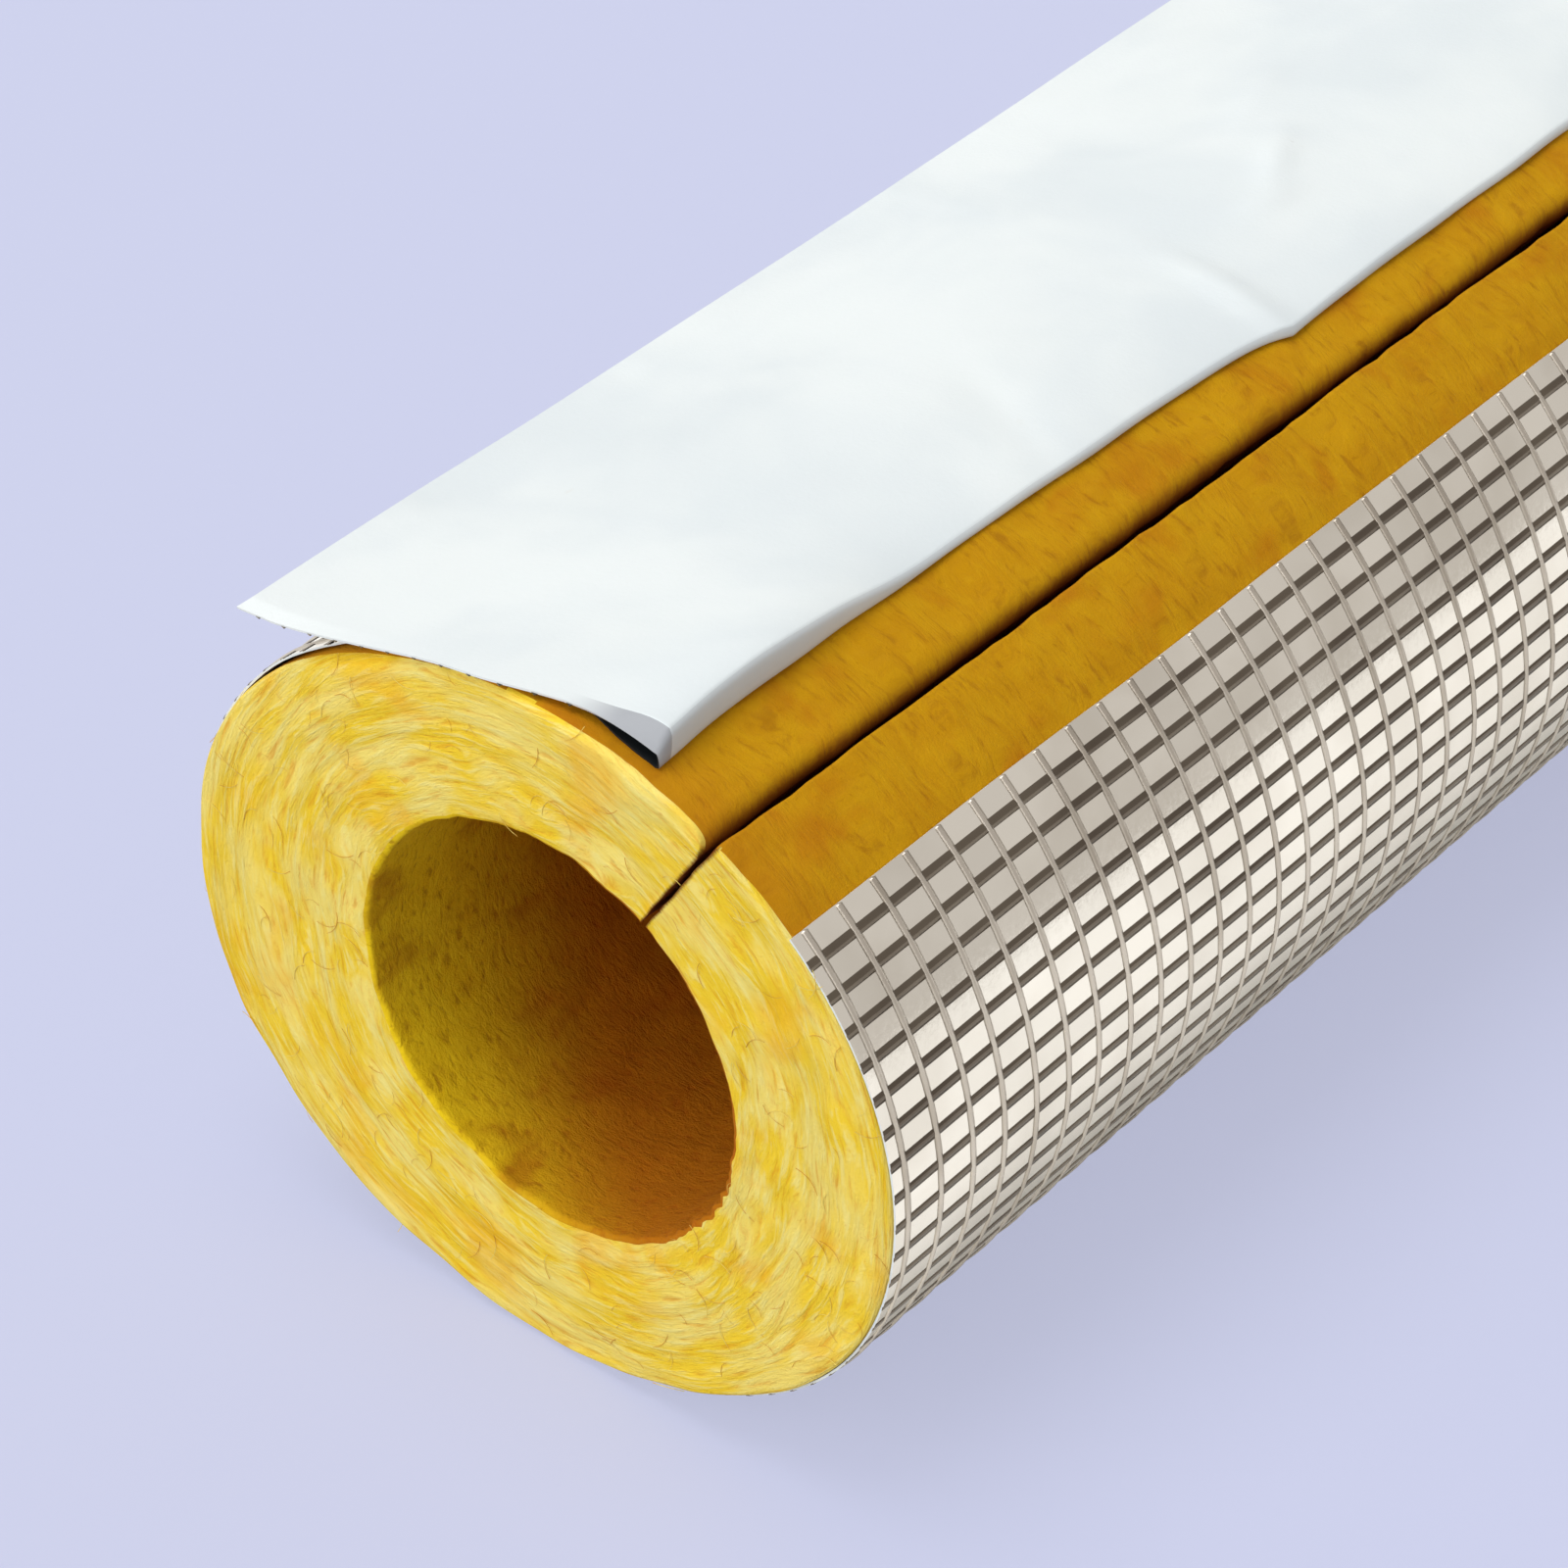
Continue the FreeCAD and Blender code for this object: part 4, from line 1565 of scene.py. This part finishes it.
@dataclass
class ScrimThreads:
    """Glass threads that press up through the foil, one set for each direction."""

    facing: FoilFacing
    direction: ThreadRun
    pitch: float
    width: float
    height: float
    first: float
    finish: FoilFinish
    sides: int = 6
    before_fold: int = 6
    past_fold: int = 14

    @staticmethod
    def between(grid: np.ndarray, steps: np.ndarray, place: float) -> np.ndarray:
        """Read a grid of points on the line at one place between its rows.

        Args:
            grid: The points, row by row.
            steps: Each row's own place.
            place: The place to read.

        Returns:
            The line's points.
        """
        row = np.interp(place, steps, np.arange(len(steps)))
        low = min(int(row), len(steps) - 2)
        share = row - low
        return grid[low] * (1 - share) + grid[low + 1] * share

    def lines(self) -> list[tuple[np.ndarray, np.ndarray]]:
        """Follow each thread over the sheet's foil side, up to the fold's closed inside.

        Returns:
            For each thread, its points and the sheet's outward directions there.
        """
        side, normal = self.facing.foil_side, self.facing.normal
        rows, across = self.facing.rows, self.facing.across
        fold = self.facing.jacket_columns
        before, after = fold - self.before_fold, fold + self.past_fold
        found = []
        if self.direction is ThreadRun.LENGTHWISE:
            columns, facing_out = side.swapaxes(0, 1), normal.swapaxes(0, 1)
            for u in np.arange(self.first, across[-1] - 0.5 * MM, self.pitch):
                if not across[before] < u < across[after]:
                    found.append((self.between(columns, across, u),
                                  self.between(facing_out, across, u)))
        else:
            rng = np.random.default_rng(7)
            places = np.arange(self.first, rows[-1] - 0.8 * MM, self.pitch)
            places = places + rng.uniform(-0.12, 0.12, len(places)) * MM
            for v in places:
                line, outward = self.between(side, rows, v), self.between(normal, rows, v)
                line = np.concatenate([[line[0] - outward[0] * self.height],
                                       line[0] + (line[1] - line[0]) * [[0.08], [0.14]], line[1:]])
                outward = np.concatenate([outward[:1], outward[:1], outward])
                found.extend([(line[:before], outward[:before]), (line[after:], outward[after:])])
        return found

    def guide(self) -> bpy.types.Object:
        """Make the wire mesh that the threads are swept along."""
        points, normals, edges = [], [], []
        for line, outward in self.lines():
            base = len(points)
            points.extend(line)
            normals.extend(outward)
            edges.extend((base + k, base + k + 1) for k in range(len(line) - 1))
        mesh = bpy.data.meshes.new(f"scrim_{self.direction.value}")
        mesh.from_pydata([tuple(p) for p in points], edges, [])
        lift = mesh.attributes.new("outward", "FLOAT_VECTOR", "POINT")
        lift.data.foreach_set("vector", np.array(normals, np.float32).ravel())
        piece = bpy.data.objects.new(f"scrim_{self.direction.value}", mesh)
        bpy.context.scene.collection.objects.link(piece)
        return piece

    def tree(self) -> bpy.types.NodeTree:
        """Build the Geometry Nodes tree that sweeps a flat arch along the guide.

        Returns:
            The tree, with named inputs for the thread's width and height.
        """
        number = "NodeSocketFloat"
        g, entry, leave = modifier_tree(f"sweep_{self.direction.value}",
                                        {"Thread Width": number, "Thread Height": number})
        runs = g.node("GeometryNodeMeshToCurve")
        g.feed(runs.inputs["Mesh"], entry.outputs["Geometry"])
        outward = g.node("GeometryNodeInputNamedAttribute", data_type="FLOAT_VECTOR")
        outward.inputs["Name"].default_value = "outward"
        held = g.node("GeometryNodeSetCurveNormal", mode="FREE")
        g.feed(held.inputs["Curve"], runs.outputs["Curve"])
        g.feed(held.inputs["Normal"], outward.outputs["Attribute"])
        arch = g.node("GeometryNodeCurvePrimitiveCircle", mode="RADIUS")
        arch.inputs["Resolution"].default_value = self.sides
        arch.inputs["Radius"].default_value = 1.0
        shape = g.node("GeometryNodeTransform")
        scale = g.node("ShaderNodeCombineXYZ")
        g.feed(scale.inputs[0], entry.outputs["Thread Height"])
        g.feed(scale.inputs[1], g.calc("MULTIPLY", entry.outputs["Thread Width"], 0.5))
        scale.inputs[2].default_value = 1.0
        g.feed(shape.inputs["Geometry"], arch.outputs["Curve"])
        g.feed(shape.inputs["Scale"], scale.outputs[0])
        sweep = g.node("GeometryNodeCurveToMesh")
        sweep.inputs["Fill Caps"].default_value = True
        g.feed(sweep.inputs["Curve"], held.outputs["Curve"])
        g.feed(sweep.inputs["Profile Curve"], shape.outputs["Geometry"])
        close_tree(g, sweep.outputs["Mesh"], entry, leave)
        return g.tree

    def build(self) -> bpy.types.Object:
        """Sweep the threads and settle them into a plain mesh.

        Returns:
            The finished object, tied to the frame.
        """
        piece = grow(self.guide(), self.tree(), {
            "Thread Width": self.width, "Thread Height": self.height,
            "Material": self.finish.make(),
        })
        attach(piece, BODY)
        return piece


# ---------------------------------------------------------------------------------------------
# Loose fibres
# ---------------------------------------------------------------------------------------------


@dataclass(frozen=True)
class FibreFinish:
    """Single resin-coated glass fibres."""

    name: str = "loose_glass_fibre"
    base: str = "f3dc70"
    shade: str = "d99a1c"

    def make(self) -> bpy.types.Material:
        """Build the material.

        Returns:
            The finished material.
        """
        material, g, shader = blank(self.name)
        place = g.node("ShaderNodeTexCoord").outputs["Object"]
        marks = g.group(EFFECTS.scuff(), Vector=place, Patch=5.0, Rarity=0.6, Grain=0.5, Seed=2.0)
        g.feed(shader.inputs["Base Color"],
               g.blend(g.remap(marks.outputs["Cloud"], 0.42, 0.60), tint(self.base),
                       tint(self.shade)))
        shader.inputs["Roughness"].default_value = 0.6
        return material


@dataclass
class LooseFibres:
    """Single fibres on the cut ends, thickest at the bore's torn rim."""

    sleeve: WoolSleeve
    wool: bpy.types.Object
    density: float = 90000.0
    length: float = 4.0 * MM
    thickness: float = 0.10 * MM
    seed: int = 5

    def ground(self) -> bpy.types.Object:
        """Copy the faces that fibres stand on, with a share that says how thick they stand.

        Returns:
            An object holding only those faces.
        """
        mesh = self.wool.data
        count = len(mesh.vertices)
        points = np.empty(count * 3, np.float32)
        mesh.vertices.foreach_get("co", points)
        points = points.reshape(-1, 3)
        kinds = np.empty(len(mesh.polygons), np.int32)
        mesh.polygons.foreach_get("material_index", kinds)
        corners = np.empty(len(mesh.loops), np.int32)
        mesh.loops.foreach_get("vertex_index", corners)
        quads = corners.reshape(-1, 4)
        piece = mesh_object("wool_loose_fibres", points, quads[kinds == Surface.CUT.value])
        angle, radius = np.arctan2(points[:, 0], points[:, 2]), np.hypot(points[:, 0], points[:, 2])
        rim = np.exp(-((radius - self.sleeve.bore_radius) / (1.6 * MM)) ** 2)
        torn = np.exp(-((angle - self.sleeve.torn_rim) / 0.5) ** 2)
        share = 0.35 + 0.25 * Ripples(16.0, 61).at(points[:, 0] / MM, points[:, 2] / MM)
        share = np.clip(share, 0.05, 1.0) + rim * torn * 2.0
        held = piece.data.attributes.new("share", "FLOAT", "POINT")
        held.data.foreach_set("value", share.astype(np.float32))
        return piece

    def tree(self) -> bpy.types.NodeTree:
        """Build the Geometry Nodes tree that strews fibres over the ground.

        Returns:
            The tree, with named inputs for density, length, thickness and seed.
        """
        number = "NodeSocketFloat"
        g, entry, leave = modifier_tree("strew_fibres", {
            "Density": number, "Length": number, "Thickness": number, "Seed": "NodeSocketInt",
        })
        given = entry.outputs
        share = g.node("GeometryNodeInputNamedAttribute", data_type="FLOAT")
        share.inputs["Name"].default_value = "share"
        strew = g.node("GeometryNodeDistributePointsOnFaces", distribute_method="RANDOM")
        g.feed(strew.inputs["Mesh"], given["Geometry"])
        g.feed(strew.inputs["Density"], g.calc("MULTIPLY", given["Density"],
                                               share.outputs["Attribute"]))
        g.feed(strew.inputs["Seed"], given["Seed"])
        arc = g.node("GeometryNodeCurveQuadraticBezier")
        arc.inputs["Resolution"].default_value = 5
        arc.inputs["Start"].default_value = (-0.5, 0.0, 0.01)
        arc.inputs["Middle"].default_value = (0.05, 0.30, 0.03)
        arc.inputs["End"].default_value = (0.5, -0.05, 0.09)
        ring = g.node("GeometryNodeCurvePrimitiveCircle", mode="RADIUS")
        ring.inputs["Resolution"].default_value = 3
        g.feed(ring.inputs["Radius"], g.calc("DIVIDE", g.calc("MULTIPLY", given["Thickness"], 0.5),
                                             given["Length"]))
        fibre = g.node("GeometryNodeCurveToMesh")
        fibre.inputs["Fill Caps"].default_value = True
        g.feed(fibre.inputs["Curve"], arc.outputs["Curve"])
        g.feed(fibre.inputs["Profile Curve"], ring.outputs["Curve"])
        spin = g.node("FunctionNodeRandomValue", data_type="FLOAT")
        floats = [s for s in spin.inputs if s.type == "VALUE"]
        floats[0].default_value, floats[1].default_value = 0.0, 2 * math.pi
        g.feed(spin.inputs["Seed"], g.calc("ADD", given["Seed"], 7.0))
        about = g.node("FunctionNodeAxisAngleToRotation")
        about.inputs["Axis"].default_value = (0.0, 0.0, 1.0)
        g.feed(about.inputs["Angle"], next(s for s in spin.outputs if s.type == "VALUE"))
        turned = g.node("FunctionNodeRotateRotation", rotation_space="LOCAL")
        g.feed(turned.inputs["Rotation"], strew.outputs["Rotation"])
        g.feed(turned.inputs["Rotate By"], about.outputs["Rotation"])
        size = g.node("FunctionNodeRandomValue", data_type="FLOAT")
        floats = [s for s in size.inputs if s.type == "VALUE"]
        g.feed(floats[0], g.calc("MULTIPLY", given["Length"], 0.45))
        g.feed(floats[1], g.calc("MULTIPLY", given["Length"], 1.15))
        g.feed(size.inputs["Seed"], g.calc("ADD", given["Seed"], 19.0))
        stand = g.node("GeometryNodeInstanceOnPoints")
        g.feed(stand.inputs["Points"], strew.outputs["Points"])
        g.feed(stand.inputs["Instance"], fibre.outputs["Mesh"])
        g.feed(stand.inputs["Rotation"], turned.outputs["Rotation"])
        g.feed(stand.inputs["Scale"], next(s for s in size.outputs if s.type == "VALUE"))
        close_tree(g, stand.outputs["Instances"], entry, leave)
        return g.tree

    def build(self) -> bpy.types.Object:
        """Strew the fibres and settle them into a plain mesh.

        Returns:
            The finished object, tied to the frame.
        """
        piece = grow(self.ground(), self.tree(), {
            "Density": self.density, "Length": self.length, "Thickness": self.thickness,
            "Seed": self.seed, "Material": FibreFinish().make(),
        })
        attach(piece, BODY)
        return piece


# ---------------------------------------------------------------------------------------------
# The studio
# ---------------------------------------------------------------------------------------------


def outwards(azimuth: float, elevation: float) -> Vector:
    """Give the direction out from the object.

    Args:
        azimuth: Degrees round the object, from straight in front of its near end.
        elevation: Degrees above the horizon.

    Returns:
        The unit direction.
    """
    a, e = math.radians(azimuth), math.radians(elevation)
    return Vector((math.sin(a) * math.cos(e), -math.cos(a) * math.cos(e), math.sin(e)))


@dataclass(frozen=True)
class SoftLamp:
    """One soft lamp, far away. Its angles are in degrees, and a wider one softens its shadow."""

    name: str
    azimuth: float
    elevation: float
    width: float
    strength: float

    def hang(self) -> bpy.types.Object:
        """Hang the lamp, pointed at the object.

        Returns:
            The lamp's object.
        """
        data = bpy.data.lights.new(self.name, "SUN")
        data.energy = self.strength
        data.angle = math.radians(self.width)
        lamp = bpy.data.objects.new(self.name, data)
        bpy.context.scene.collection.objects.link(lamp)
        back = outwards(self.azimuth, self.elevation)
        lamp.rotation_euler = back.to_track_quat("Z", "Y").to_euler()
        return lamp


@dataclass
class Studio:
    """The floor, the soft lights, the world and the camera."""

    near_end: Vector
    floor_height: float
    azimuth: float = 39.505
    elevation: float = 37.67
    aside: float = -0.0322
    below: float = -0.0315
    distance: float = 0.6477
    lens: float = 117.8
    sky: str = "cdd1ec"
    surround: str = "d2cdc7"
    world_strength: float = 0.52
    floor_reach: float = 12.0
    key: SoftLamp = SoftLamp("key_lamp", -52.0, 80.0, width=40.0, strength=1.20)
    fill: SoftLamp = SoftLamp("fill_lamp", -14.0, 24.0, width=60.0, strength=1.45)

    def floor(self) -> bpy.types.Object:
        """Lay the floor.

        Returns:
            The floor's object.
        """
        corners = ((-1, -1), (1, -1), (1, 1), (-1, 1))
        points = np.array([(x * self.floor_reach, y * self.floor_reach, self.floor_height)
                           for x, y in corners])
        piece = mesh_object("studio_floor", points, np.array([[0, 1, 2, 3]]))
        dress(piece, [FloorFinish().make()])
        piece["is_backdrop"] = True
        return piece

    def world(self) -> None:
        """Light from all round, with the pale background where the camera looks."""
        world = bpy.data.worlds.new("studio_world")
        bpy.context.scene.world = world
        world.use_nodes = True
        world.node_tree.nodes.clear()
        g = Graph(world.node_tree)
        light = g.node("ShaderNodeBackground")
        light.inputs["Color"].default_value = (1.0, 0.985, 0.96, 1.0)
        light.inputs["Strength"].default_value = self.world_strength
        mirrored = g.node("ShaderNodeBackground")
        mirrored.inputs["Color"].default_value = tint(self.surround)
        seen = g.node("ShaderNodeBackground")
        seen.inputs["Color"].default_value = tint(self.sky)
        rays = g.node("ShaderNodeLightPath")
        join, last = g.node("ShaderNodeMixShader"), g.node("ShaderNodeMixShader")
        g.feed(join.inputs[0], rays.outputs["Is Glossy Ray"])
        g.feed(join.inputs[1], light.outputs[0])
        g.feed(join.inputs[2], mirrored.outputs[0])
        g.feed(last.inputs[0], rays.outputs["Is Camera Ray"])
        g.feed(last.inputs[1], join.outputs[0])
        g.feed(last.inputs[2], seen.outputs[0])
        out = g.node("ShaderNodeOutputWorld")
        g.feed(out.inputs["Surface"], last.outputs[0])

    def camera(self) -> bpy.types.Object:
        """Stand the camera and make it the scene's own.

        Returns:
            The camera's object.
        """
        data = bpy.data.cameras.new("camera")
        data.lens = self.lens
        data.sensor_width = 36.0
        data.clip_start, data.clip_end = 0.01, 60.0
        camera = bpy.data.objects.new("camera", data)
        bpy.context.scene.collection.objects.link(camera)
        back = outwards(self.azimuth, self.elevation)
        a = math.radians(self.azimuth)
        right = Vector((math.cos(a), math.sin(a), 0.0))
        up = back.cross(right)
        place = self.near_end - right * self.aside - up * self.below + back * self.distance
        turned = Matrix((right, up, back)).transposed().to_4x4()
        camera.matrix_world = Matrix.Translation(place) @ turned
        bpy.context.scene.camera = camera
        return camera

    def build(self) -> None:
        """Set the whole stage."""
        self.floor()
        self.world()
        self.key.hang()
        self.fill.hang()
        self.camera()
        bpy.context.scene.view_settings.view_transform = "Standard"


# ---------------------------------------------------------------------------------------------
# Putting it together
# ---------------------------------------------------------------------------------------------


def main() -> None:
    """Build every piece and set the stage."""
    logging.basicConfig(level=logging.INFO, format="%(message)s")
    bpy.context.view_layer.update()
    low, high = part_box("wool_shell")
    bore = next(m for m in frame["record"]["mounts"] if m["name"] == "bore")
    bore_radius = bore["dims"]["r_mm"] * MM
    oval = Oval(half_width=(high.x - low.x) / 2, half_height=(high.z - low.z) / 2,
                centre_x=(high.x + low.x) / 2, centre_z=(high.z + low.z) / 2)
    length = high.y - low.y

    sleeve = WoolSleeve(oval, length, bore_radius)
    wool = sleeve.finish_piece(sleeve.build())
    report(wool)
    report(LooseFibres(sleeve, wool).build())

    facing = FoilFacing(oval, length)
    sheet = facing.finish_piece(facing.build())
    report(sheet)

    weave = facing.weave
    # The long threads' dark foil colour is painted shade for the recessed bands of the scrim.
    bars = ScrimThreads(facing, ThreadRun.LENGTHWISE, pitch=weave.pitch_across,
                        first=weave.first_across, width=1.6 * MM, height=0.10 * MM,
                        finish=FoilFinish("foil_over_long_threads_painted_shade", base="71685d", shade="625950",
                                          roughness=0.20, seed=3.0))
    report(bars.build())
    ribs = ScrimThreads(facing, ThreadRun.CROSSWISE, pitch=weave.pitch_along,
                        first=weave.first_along, width=1.25 * MM, height=0.28 * MM, sides=4,
                        finish=FoilFinish("foil_over_cross_threads", base="cbc4ba", shade="b7afa4",
                                          roughness=0.30, seed=6.0))
    report(ribs.build())

    visual_low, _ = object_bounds()
    near_end = Vector((oval.centre_x, low.y, oval.centre_z))
    Studio(near_end, visual_low.z).build()


if __name__ == "__main__":
    main()
